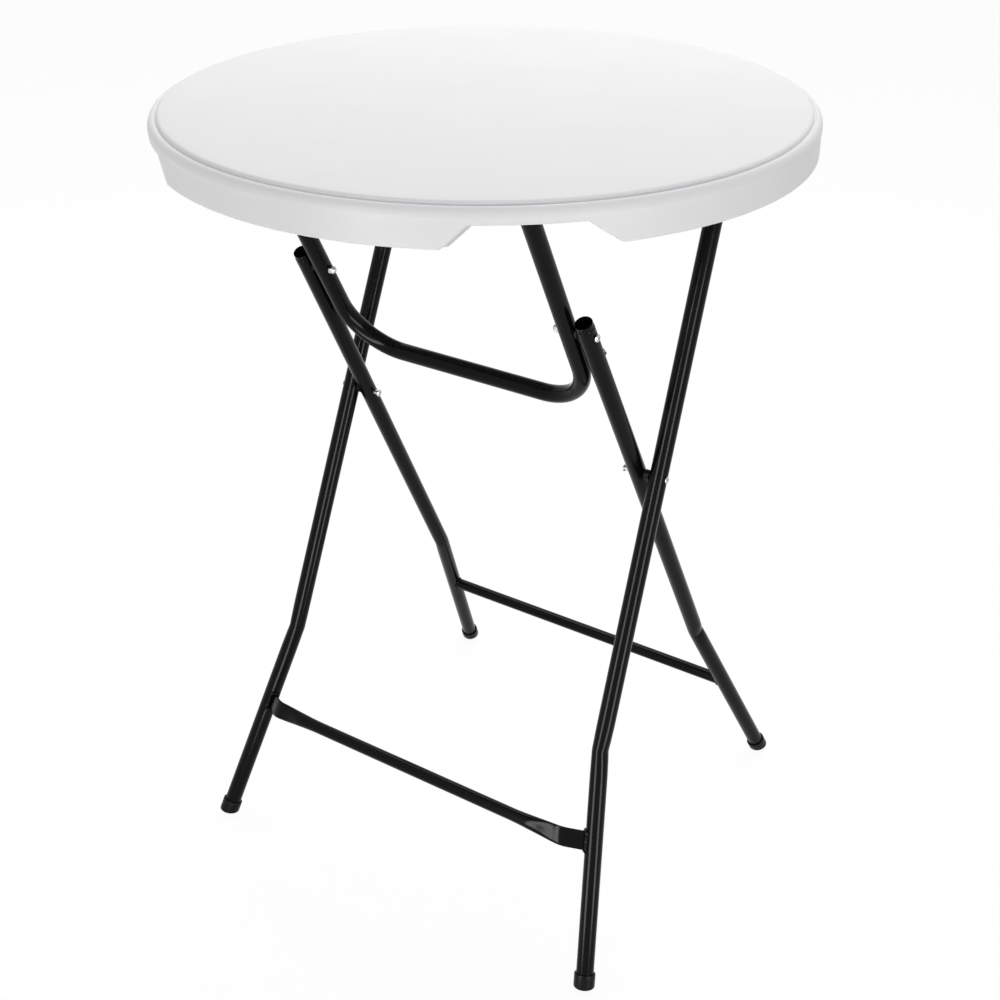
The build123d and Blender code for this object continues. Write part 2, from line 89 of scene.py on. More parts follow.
@dataclass(frozen=True)
class TableSizes:
    """The sizes that the sub-assemblies share, as the CAD model has them."""

    height: float = 1100.0
    top_radius: float = 400.0
    panel_thickness: float = 22.0
    pivot_drop: float = 40.0
    pivot_setback: float = 196.9386
    outer_foot_reach: float = 236.0
    inner_foot_reach: float = 377.0
    outer_radius: float = 12.0
    inner_radius: float = 11.5
    hoop_radius: float = 11.5
    bar_radius: float = 8.75
    tube_wall: float = 1.2
    knee_radius: float = 45.0
    hoop_bend_radius: float = 75.0
    tube_end_past_pivot: float = 9.0
    outer_half_at_pivot: float = 236.4
    upper_splay_degrees: float = 1.85
    cross_wall_gap: float = 7.0
    hinge_wall_gap: float = 4.4
    outer_foot_splay: float = 59.5
    inner_foot_splay: float = 55.0
    outer_knee_rise: float = 325.0
    inner_knee_rise: float = 339.0
    inner_leg_past_hinge: float = 22.0
    hoop_reach: float = 349.5
    cap_wall: float = 2.5
    cap_length: float = 22.5
    cap_sole: float = 12.0
    sole_share: float = 0.6
    bolt_radius: float = 3.0
    hinge_gap: float = 0.6

    @property
    def underside(self) -> float:
        """Height of the panel's lower face."""
        return self.height - self.panel_thickness

    @property
    def pivot_height(self) -> float:
        """Height of the top pivots above the floor."""
        return self.height - self.pivot_drop

    @property
    def splay(self) -> float:
        """Sideways run of the upper legs for each unit of rise."""
        return math.tan(math.radians(self.upper_splay_degrees))

    @property
    def outer_length(self) -> float:
        """Length of an outer leg in the side view, floor to pivot."""
        return math.hypot(self.pivot_setback + self.outer_foot_reach, self.pivot_height)

    @property
    def inner_length(self) -> float:
        """Length of inner leg and hoop arm in one line, floor to pivot."""
        return math.hypot(self.pivot_setback + self.inner_foot_reach, self.pivot_height)

    @property
    def crossing_share(self) -> float:
        """Share of both lengths that lies below the crossing."""
        feet = self.outer_foot_reach + self.inner_foot_reach
        return feet / (feet + 2 * self.pivot_setback)

    @property
    def outer_crossing(self) -> float:
        """Rise of the crossing along the outer leg."""
        return self.outer_length * self.crossing_share

    @property
    def inner_crossing(self) -> float:
        """Rise of the crossing along the inner leg."""
        return self.inner_length * self.crossing_share

    @property
    def hinge_rise(self) -> float:
        """Rise of the hinge with the hoop along the inner leg."""
        outer_link = self.outer_length - self.outer_crossing
        inner_line = self.inner_length - self.inner_crossing
        return self.inner_length - (inner_line + 2 * self.pivot_setback - outer_link) / 2

    @property
    def outer_wall(self) -> float:
        """Half the width across an outer leg, measured along X."""
        return self.outer_radius / math.cos(math.radians(self.upper_splay_degrees))

    @property
    def inner_wall(self) -> float:
        """Half the width across an inner leg, measured along X."""
        return self.inner_radius / math.cos(math.radians(self.upper_splay_degrees))

    @property
    def outer_cross_half(self) -> float:
        """Half width of the outer frame at the crossing."""
        return self.outer_half_at_pivot + (self.outer_length - self.outer_crossing) * self.splay

    @property
    def inner_cross_half(self) -> float:
        """Half width of the inner frame at the crossing."""
        return self.outer_cross_half - self.outer_wall - self.cross_wall_gap - self.inner_wall

    @property
    def inner_hinge_half(self) -> float:
        """Half width of the inner frame at its hinge with the hoop."""
        return self.inner_cross_half - (self.hinge_rise - self.inner_crossing) * self.splay

    @property
    def hoop_half(self) -> float:
        """Half width of the hoop, to the middle of its tube."""
        return self.inner_hinge_half - self.inner_wall - self.hinge_wall_gap - self.hoop_radius

    @property
    def gap_middle(self) -> float:
        """X of the middle of the gap where the frames cross."""
        return self.outer_cross_half - self.outer_wall - self.cross_wall_gap / 2

    def outer_half(self, rise: float) -> float:
        """Half width of the outer frame at a distance up its leg.

        Args:
            rise: The distance.

        Returns:
            Half the width, to the middle of the tube.
        """
        knee = self.outer_half_at_pivot + (self.outer_length - self.outer_knee_rise) * self.splay
        if rise < self.outer_knee_rise:
            return knee + self.outer_foot_splay * (1 - rise / self.outer_knee_rise)
        return knee - (rise - self.outer_knee_rise) * self.splay

    def inner_half(self, rise: float) -> float:
        """Half width of the inner frame at a distance up its leg.

        Args:
            rise: The distance.

        Returns:
            Half the width, to the middle of the tube.
        """
        knee = self.inner_hinge_half + (self.hinge_rise - self.inner_knee_rise) * self.splay
        if rise < self.inner_knee_rise:
            return knee + self.inner_foot_splay * (1 - rise / self.inner_knee_rise)
        return knee - (rise - self.inner_knee_rise) * self.splay

    def outer_plane(self) -> Matrix:
        """Frame of the outer legs: X across, Y up the leg, Z out of the front."""
        return leg_plane(-self.outer_foot_reach, self.pivot_setback, self.pivot_height)

    def inner_plane(self) -> Matrix:
        """Frame of the inner legs and hoop: X across, Y up the leg, Z out of the front."""
        return leg_plane(self.inner_foot_reach, -self.pivot_setback, self.pivot_height)


def leg_plane(foot_y: float, pivot_y: float, pivot_height: float) -> Matrix:
    """Give the frame of a pair of legs.

    Args:
        foot_y: Where the legs stand.
        pivot_y: Where their line meets the top pivot.
        pivot_height: Height of that pivot.

    Returns:
        A matrix from (across, up the leg, towards the front) to the part's frame.
    """
    up = Vector((0, pivot_y - foot_y, pivot_height)).normalized()
    across = Vector((1, 0, 0))
    plane = Matrix((across, up, across.cross(up))).transposed().to_4x4()
    plane.translation = (0, foot_y, 0)
    return plane


def along(point: Vector, direction: Vector) -> Matrix:
    """Give a frame with its Z axis along a direction.

    Args:
        point: The frame's origin.
        direction: Where its Z axis points.

    Returns:
        The frame as a matrix.
    """
    frame = direction.to_track_quat("Z", "Y").to_matrix().to_4x4()
    frame.translation = point
    return frame


# Meshes


def circle(radius: float, height: float, count: int) -> list[Vector]:
    """Give points round the Z axis at a height."""
    turns = [2 * math.pi * i / count for i in range(count)]
    return [Vector((radius * math.cos(a), radius * math.sin(a), height)) for a in turns]


class Surface:
    """A mesh in the making: rings of points in millimetres that are joined up."""

    def __init__(self) -> None:
        """Start with no points."""
        self.points: list[Vector] = []
        self.faces: list[tuple[int, ...]] = []

    def ring(self, points: Iterable[Vector]) -> list[int]:
        """Add a row of points.

        Args:
            points: The points in order.

        Returns:
            Their indices.
        """
        start = len(self.points)
        self.points.extend(Vector(point) for point in points)
        return list(range(start, len(self.points)))

    def join(self, first: Sequence[int], second: Sequence[int]) -> None:
        """Skin two closed rings of as many points, or a ring and a single pole.

        Args:
            first: Indices of one ring, or one index.
            second: Indices of the next.
        """
        count = max(len(first), len(second))
        for i in range(count):
            j = (i + 1) % count
            near = [first[i % len(first)], first[j % len(first)]]
            far = [second[j % len(second)], second[i % len(second)]]
            self.faces.append(tuple(dict.fromkeys(near + far)))

    def skin(self, rings: Sequence[Sequence[int]]) -> None:
        """Join each ring to the next."""
        for first, second in zip(rings, rings[1:]):
            self.join(first, second)

    def close(self, ring: Sequence[int]) -> None:
        """Fill a ring with one flat face."""
        self.faces.append(tuple(ring))

    def lathe(self, frame: Matrix, profile: Profile, segments: int) -> None:
        """Turn a profile about the Z axis of a frame.

        Args:
            frame: The frame to turn it in.
            profile: Points as (radius, height), from one end to the other.
            segments: How many steps go round.
        """
        rings = []
        for radius, height in profile:
            points = circle(radius, height, segments if radius > 0 else 1)
            rings.append(self.ring(frame @ point for point in points))
        self.skin(rings)

    def cross(self, frame: Matrix, reach: float, width: float, depth: float) -> None:
        """Add a tapered cross: what a driver's recess takes out of a head.

        Args:
            frame: A frame on top of the head, with its Z axis pointing out of it.
            reach: Length of each arm from the middle, at the mouth.
            width: Width of each arm at the mouth.
            depth: How deep it goes.
        """
        rings = []
        for share, z in ((0.5, -depth), (1.0, 0.0), (1.1, 1.0)):
            arm, half = reach * share, width / 2 * (0.6 + 0.4 * share)
            row = []
            for quarter in range(4):
                turn = Matrix.Rotation(math.pi / 2 * quarter, 4, "Z")
                corners = ((arm, -half), (arm, half), (half, half))
                row += [frame @ turn @ Vector((x, y, z)) for x, y in corners]
            rings.append(self.ring(row))
        self.skin(rings)
        self.close(rings[0])
        self.close(rings[-1])

    def mesh(self, name: str, sharp_degrees: float = 38.0) -> bpy.types.Mesh:
        """Make the Blender mesh, smooth but for its sharp edges.

        Args:
            name: The mesh's name.
            sharp_degrees: Edges that turn by more than this stay sharp.

        Returns:
            The mesh, in metres.
        """
        mesh = bpy.data.meshes.new(name)
        mesh.from_pydata([point * MM for point in self.points], [], self.faces)
        tidy_mesh(mesh, sharp_degrees)
        return mesh


def tidy_mesh(mesh: bpy.types.Mesh, sharp_degrees: float) -> None:
    """Merge doubled points, turn the faces outwards and shade the mesh smooth.

    Args:
        mesh: The mesh, in metres.
        sharp_degrees: Edges that turn by more than this stay sharp.
    """
    work = bmesh.new()
    work.from_mesh(mesh)
    bmesh.ops.remove_doubles(work, verts=work.verts, dist=0.002 * MM)
    bmesh.ops.dissolve_degenerate(work, edges=work.edges, dist=0.001 * MM)
    bmesh.ops.recalc_face_normals(work, faces=work.faces)
    work.to_mesh(mesh)
    work.free()
    mesh.polygons.foreach_set("use_smooth", [True] * len(mesh.polygons))
    mesh.set_sharp_from_angle(angle=math.radians(sharp_degrees))


def arc(
    centre: tuple[float, float],
    radii: tuple[float, float],
    start: float,
    end: float,
    steps: int = 6,
) -> Profile:
    """Give points on an arc of an ellipse, in a profile.

    Args:
        centre: The middle as (radius, height).
        radii: The ellipse's radius outwards and its radius upwards.
        start: First angle in degrees, from straight outwards.
        end: Last angle in degrees.
        steps: How many steps the arc takes.

    Returns:
        The points as (radius, height).
    """
    (x, y), (out, up) = centre, radii
    angles = [math.radians(start + (end - start) * i / steps) for i in range(steps + 1)]
    return [(x + out * math.cos(a), y + up * math.sin(a)) for a in angles]


def smooth_step(start: float, end: float, value: float) -> float:
    """Go from 0 to 1 with level ends, as a value goes from a start to an end."""
    share = min(1.0, max(0.0, (value - start) / (end - start)))
    return share * share * (3 - 2 * share)


@dataclass
class Station:
    """A place along a bent tube, in the plane of its frame.

    Attributes:
        centre: The middle of the tube there.
        tangent: The way that the tube runs.
        inside: The way to the inside of the nearest bend, or None.
        run: Distance along the tube from the middle of the nearest bend.
    """

    centre: Vector
    tangent: Vector
    inside: Vector | None = None
    run: float = 0.0


@dataclass(frozen=True)
class BendMarks:
    """How a bend presses a tube: flatter across it and dented on its inside.

    Attributes:
        dent: Share of the radius that the inside of the bend goes in by.
        flatten: Share that the tube is flatter in the bend's plane.
        spread: How far the marks reach along the tube.
    """

    dent: float = 0.0
    flatten: float = 0.0
    spread: float = 1.0

    def factors(self, station: Station, angle: float) -> tuple[float, float]:
        """Give the factors on the tube's radius, in the plane of the bend and out of it.

        Args:
            station: The place along the tube.
            angle: Direction from the middle of the tube, from the plane's side.

        Returns:
            The two factors.
        """
        if station.inside is None:
            return 1.0, 1.0
        fade = math.exp(-((station.run / self.spread) ** 2))
        side = Vector((-station.tangent.y, station.tangent.x, 0))
        facing = max(0.0, math.cos(angle) * side.dot(station.inside))
        wave = 1 + 0.35 * math.cos(station.run / self.spread * 5.0)
        ripple = self.dent * fade * facing**2 * wave
        flat = self.flatten * fade
        return 1 - flat - ripple, 1 + 0.6 * flat - ripple


def bent_path(
    corners: Sequence[tuple[float, float]],
    bend_radius: float,
    step: float = 5.0,
    margin: float = 40.0,
) -> list[Station]:
    """Follow straight runs with an arc at each inner corner.

    Args:
        corners: The corners as (across, up the leg).
        bend_radius: Radius of each arc, to the middle of the tube.
        step: About how far apart the stations are near a bend.
        margin: How far they stay that close, on both sides of the bend.

    Returns:
        The stations from one end to the other.
    """
    points = [Vector((x, y, 0)) for x, y in corners]
    stations = [Station(points[0], (points[1] - points[0]).normalized())]
    for before, corner, after in zip(points, points[1:], points[2:]):
        enter = (corner - before).normalized()
        leave = (after - corner).normalized()
        turn = enter.angle(leave)
        reach = bend_radius * math.tan(turn / 2)
        inside = (leave - enter).normalized()
        normal = (inside - enter * inside.dot(enter)).normalized()
        middle = corner - enter * reach + normal * bend_radius
        half_arc = bend_radius * turn / 2
        lead = int(margin / step)
        for i in range(lead, 0, -1):
            centre = corner - enter * (reach + i * step)
            stations.append(Station(centre, enter, inside, -half_arc - i * step))
        count = max(8, int(bend_radius * turn / step) * 2)
        for i in range(count + 1):
            angle = turn * i / count
            radial = (-normal * math.cos(angle) + enter * math.sin(angle)).normalized()
            tangent = (enter * math.cos(angle) + normal * math.sin(angle)).normalized()
            run = half_arc * (2 * i / count - 1)
            stations.append(Station(middle + radial * bend_radius, tangent, inside, run))
        for i in range(1, lead + 1):
            centre = corner + leave * (reach + i * step)
            stations.append(Station(centre, leave, inside, half_arc + i * step))
    stations.append(Station(points[-1], (points[-1] - points[-2]).normalized()))
    return stations


def sweep_tube(
    surface: Surface,
    plane: Matrix,
    stations: Sequence[Station],
    radius: float,
    wall: float,
    marks: BendMarks = BendMarks(),
    segments: int = 40,
    collar: float = 0.0,
) -> None:
    """Skin a tube with a wall and open, slightly rounded ends.

    Args:
        surface: Where the points go.
        plane: From the frame's plane to the part's frame.
        stations: The tube's middle line.
        radius: Outside radius.
        wall: Thickness of the wall.
        marks: How its bends press it.
        segments: How many steps go round.
        collar: Length of a slightly narrower rim at the last end.
    """

    def row(station: Station, reach: float, shift: float = 0.0) -> list[int]:
        """Add a ring round a station, moved along the tube.

        Args:
            station: The place.
            reach: Radius of the ring.
            shift: How far along it's moved.

        Returns:
            The indices of its points.
        """
        side = Vector((-station.tangent.y, station.tangent.x, 0))
        points = []
        for i in range(segments):
            angle = 2 * math.pi * i / segments
            wide, deep = marks.factors(station, angle)
            across = side * (reach * wide * math.cos(angle))
            out = Vector((0, 0, reach * deep * math.sin(angle)))
            points.append(plane @ (station.centre + station.tangent * shift + across + out))
        return surface.ring(points)

    lip, step_in = 0.35, 0.5
    bore, rim = radius - wall, radius
    first, last = stations[0], stations[-1]
    rings = [row(first, bore, lip), row(first, bore + lip), row(first, radius - lip)]
    rings.append(row(first, radius, lip))
    rings += [row(station, radius) for station in stations[1:-1]]
    if collar:
        rim = radius - step_in
        # Rings close behind the step, so that its shading doesn't run up the tube
        rings += [row(last, radius, -collar - back) for back in (3.0, 1.0, 0.3)]
        rings += [row(last, radius - 0.15, -collar), row(last, rim, 0.05 - collar)]
    rings += [row(last, rim, -lip), row(last, rim - lip), row(last, bore + lip / 2)]
    rings.append(row(last, bore, -lip))
    rings += [row(station, bore) for station in reversed(stations[1:-1])]
    surface.skin([*rings, rings[0]])


def mirrored(mesh: bpy.types.Mesh, name: str) -> bpy.types.Mesh:
    """Copy a mesh to the other side of the table.

    Args:
        mesh: The right-hand mesh.
        name: Name of the copy.

    Returns:
        The left-hand mesh.
    """
    copy = mesh.copy()
    copy.name = name
    copy.transform(Matrix.Diagonal((-1, 1, 1, 1)))
    copy.flip_normals()
    return copy


# Finishes


def linear(colour: str) -> tuple[float, float, float, float]:
    """Turn an sRGB hex colour into linear red, green and blue, with an alpha of 1.

    Args:
        colour: Such as "#1A1A1B".

    Returns:
        Red, green, blue and alpha.
    """
    values = [int(colour[i : i + 2], 16) / 255 for i in (1, 3, 5)]
    red, green, blue = (
        v / 12.92 if v <= 0.04045 else ((v + 0.055) / 1.055) ** 2.4 for v in values
    )
    return red, green, blue, 1.0


def add_node(
    tree: bpy.types.NodeTree,
    kind: str,
    settings: dict[str | int, object] | None = None,
    links: dict[str | int, bpy.types.NodeSocket] | None = None,
) -> bpy.types.Node:
    """Add a node with its settings and links.

    Args:
        tree: The node tree.
        kind: The node's type.
        settings: Values by the name of a property, or of an input socket.
        links: Output sockets by the name or number of the input that they feed.

    Returns:
        The new node.
    """
    node = tree.nodes.new(kind)
    for key, value in (settings or {}).items():
        if isinstance(key, str) and hasattr(node, key):
            setattr(node, key, value)
        else:
            node.inputs[key].default_value = value
    for key, socket in (links or {}).items():
        tree.links.new(socket, node.inputs[key])
    return node


def empty_tree(block: bpy.types.Material | bpy.types.World) -> bpy.types.NodeTree:
    """Give the emptied node tree of a material or a world.

    Args:
        block: The material or world.

    Returns:
        Its node tree.
    """
    block.use_nodes = True
    block.node_tree.nodes.clear()
    return block.node_tree


@dataclass(frozen=True)
class Grain:
    """A noise in the part's own space, and the relief that it gives.

    Attributes:
        pitch_mm: About how far apart its features are.
        detail: How many finer layers it has.
        strength: How much of the relief the eye gets.
        depth_mm: How deep the relief is.
        roughness: How strong the finer layers are.
    """

    pitch_mm: float
    detail: float
    strength: float = 0.0
    depth_mm: float = 0.0
    roughness: float = 0.5


@dataclass(frozen=True)
class Finish:
    """A finish whose tone, gloss and relief follow noise.

    Attributes:
        name: The material's name.
        tones: Its darkest and its lightest colour.
        roughness: Its least and its greatest roughness.
        grains: Its noises, the coarsest first. The tone follows that one.
        gloss_grain: Number of the noise that the roughness follows.
        constants: Values of the shader's own sockets.
    """

    name: str
    tones: tuple[str, str]
    roughness: tuple[float, float]
    grains: tuple[Grain, ...]
    gloss_grain: int = 0
    constants: tuple[tuple[str, float], ...] = ()

    def build(self) -> bpy.types.Material:
        """Make the material.

        Returns:
            The material, laid out in the part's own space.
        """
        material = bpy.data.materials.new(self.name)
        tree = empty_tree(material)
        place = add_node(tree, "ShaderNodeTexCoord").outputs["Object"]
        heights, relief = [], {}
        for grain in self.grains:
            scale = 1 / (grain.pitch_mm * MM)
            cloud = add_node(
                tree,
                "ShaderNodeTexNoise",
                {"Scale": scale, "Detail": grain.detail, "Roughness": grain.roughness},
                {"Vector": place},
            )
            heights.append(cloud.outputs["Fac"])
            if grain.strength:
                bump = add_node(
                    tree,
                    "ShaderNodeBump",
                    {"Strength": grain.strength, "Distance": grain.depth_mm * MM},
                    {"Height": heights[-1], **relief},
                )
                relief = {"Normal": bump.outputs["Normal"]}
        tone = add_node(tree, "ShaderNodeValToRGB", links={"Fac": heights[0]})
        for stop, colour in zip(tone.color_ramp.elements, self.tones):
            stop.color = linear(colour)
        gloss = add_node(
            tree,
            "ShaderNodeMapRange",
            {"To Min": self.roughness[0], "To Max": self.roughness[1]},
            {"Value": heights[self.gloss_grain]},
        )
        shader = add_node(
            tree,
            "ShaderNodeBsdfPrincipled",
            dict(self.constants),
            {"Base Color": tone.outputs["Color"], "Roughness": gloss.outputs["Result"], **relief},
        )
        add_node(tree, "ShaderNodeOutputMaterial", links={"Surface": shader.outputs["BSDF"]})
        return material


FINISHES = {
    # White high-density polyethylene, blow-moulded in a fine-grained steel mould. The eye
    # gets a satin white with a soft sheen, which the grain scatters more than a polished
    # face would. The skin is slightly uneven where it shrinks between the cones that tie
    # it to the lower one, about 90 mm apart. The pebble grain is about 0.4 mm in life, too
    # fine for the render, so it's drawn at 1.6 mm.
    Slot.TOP: Finish(
        "moulded_hdpe",
        ("#EDEDEF", "#F1F1F2"),
        (0.38, 0.47),
        (Grain(90.0, 1.0, 0.12, 1.2), Grain(1.6, 2.0, 0.1, 0.15)),
        gloss_grain=1,
        constants=(("IOR", 1.54), ("Specular IOR Level", 0.05)),
    ),
    # Steel tube under a baked black powder coat. The eye gets a deep, slightly soft black
    # with crisp but thin reflections, since the coat's peel breaks up most of them. The
    # peel is about 2 mm from crest to crest, and the coat is a little thicker in patches.
    Slot.TUBE: Finish(
        "powder_coated_steel",
        ("#080809", "#0B0B0C"),
        (0.13, 0.21),
        (Grain(45.0, 2.0), Grain(2.2, 1.5, 0.02, 0.05, roughness=0.4)),
        constants=(("Specular IOR Level", 0.09),),
    ),
    # Bright zinc on cold-headed steel bolts and nuts. The eye gets a small, sharp, silver
    # glint with a faint cloudiness from the plating.
    Slot.ZINC: Finish(
        "zinc_plated_steel",
        ("#B4B6B6", "#C9CBCC"),
        (0.16, 0.32),
        (Grain(3.0, 3.0),),
        constants=(("Metallic", 1.0),),
    ),
    # Black polyethylene caps from a spark-eroded mould. The eye gets a matt black that is
    # a little greyer than the tubes. The grain is drawn coarser than its real 0.3 mm.
    Slot.CAP: Finish(
        "polyethylene_cap",
        ("#0E0E0E", "#131314"),
        (0.29, 0.39),
        (Grain(0.9, 2.0, 0.1, 0.05),),
        constants=(("Specular IOR Level", 0.09),),
    ),
    # Black nylon washers. The eye gets a matt, waxy dark grey in the gaps.
    Slot.NYLON: Finish(
        "nylon_washer",
        ("#101010", "#161617"),
        (0.4, 0.5),
        (Grain(0.8, 2.0, 0.1, 0.05),),
        constants=(("Specular IOR Level", 0.09),),
    ),
}


# Pieces


def add_object(name: str, data: bpy.types.ID) -> bpy.types.Object:
    """Put an object with some data into the scene.

    Args:
        name: Its name.
        data: Its mesh, lamp or camera.

    Returns:
        The object.
    """
    item = bpy.data.objects.new(name, data)
    bpy.context.scene.collection.objects.link(item)
    return item


# Pieces


@dataclass
class Workshop:
    """Turns meshes into pieces that ride on the bodies and stand for CAD nodes.

    Attributes:
        materials: The finish of each slot.
        count: How many pieces there are so far.
    """

    materials: dict[Slot, bpy.types.Material]
    count: int = 0

    def place(self, mesh: bpy.types.Mesh, body: Body, slot: Slot, *nodes: str) -> bpy.types.Object:
        """Make one piece.

        Args:
            mesh: Its mesh, in place.
            body: The body that it rides on.
            slot: The slot that it takes its finish from.
            nodes: The CAD nodes that it stands for.

        Returns:
            The piece.
        """
        mesh.materials.clear()
        mesh.materials.append(self.materials[slot])
        piece = add_object(mesh.name, mesh)
        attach(piece, body.value)
        if nodes:
            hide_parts(*nodes)
        self.count += 1
        LOG.info("%s: %d faces on %s", mesh.name, len(mesh.polygons), body.value)
        return piece

    def place_pair(self, mesh: bpy.types.Mesh, body: Body, slot: Slot, *nodes: str) -> None:
        """Make the right-hand piece and its mirror image.

        Args:
            mesh: The right-hand mesh, in place.
            body: The body that both ride on.
            slot: The slot that both take their finish from.
            nodes: Names of the CAD nodes, without their side.
        """
        name = mesh.name
        left = mirrored(mesh, name + "_left")
        mesh.name = name + "_right"
        self.place(mesh, body, slot, *(node + "_right" for node in nodes))
        self.place(left, body, slot, *(node + "_left" for node in nodes))

    def soften(self, node: str, name: str, body: Body, slot: Slot, radius: float) -> None:
        """Replace a CAD node by a copy of it with rounded edges.

        Args:
            node: The CAD node.
            name: Name of the piece.
            body: The body that it rides on.
            slot: The slot that it takes its finish from.
            radius: Radius of its edges.
        """
        mesh = bpy.data.objects[node].data.copy()
        mesh.name = name
        work = bmesh.new()
        work.from_mesh(mesh)
        bmesh.ops.remove_doubles(work, verts=work.verts, dist=0.005 * MM)
        flat, sharp = math.radians(1.0), math.radians(40.0)
        bmesh.ops.dissolve_limit(
            work, angle_limit=flat, verts=work.verts, edges=work.edges, delimit={"NORMAL"}
        )
        hard = [e for e in work.edges if e.is_manifold and e.calc_face_angle(0.0) > sharp]
        bmesh.ops.bevel(
            work, geom=hard, offset=radius * MM, segments=2, affect="EDGES", clamp_overlap=True
        )
        work.to_mesh(mesh)
        work.free()
        tidy_mesh(mesh, 50.0)
        self.place(mesh, body, slot, node)


@dataclass
class Assembly:
    """A part of the table.

    Attributes:
        sizes: The sizes that it shares with the others.
        shop: Makes its pieces.
    """

    sizes: TableSizes
    shop: Workshop


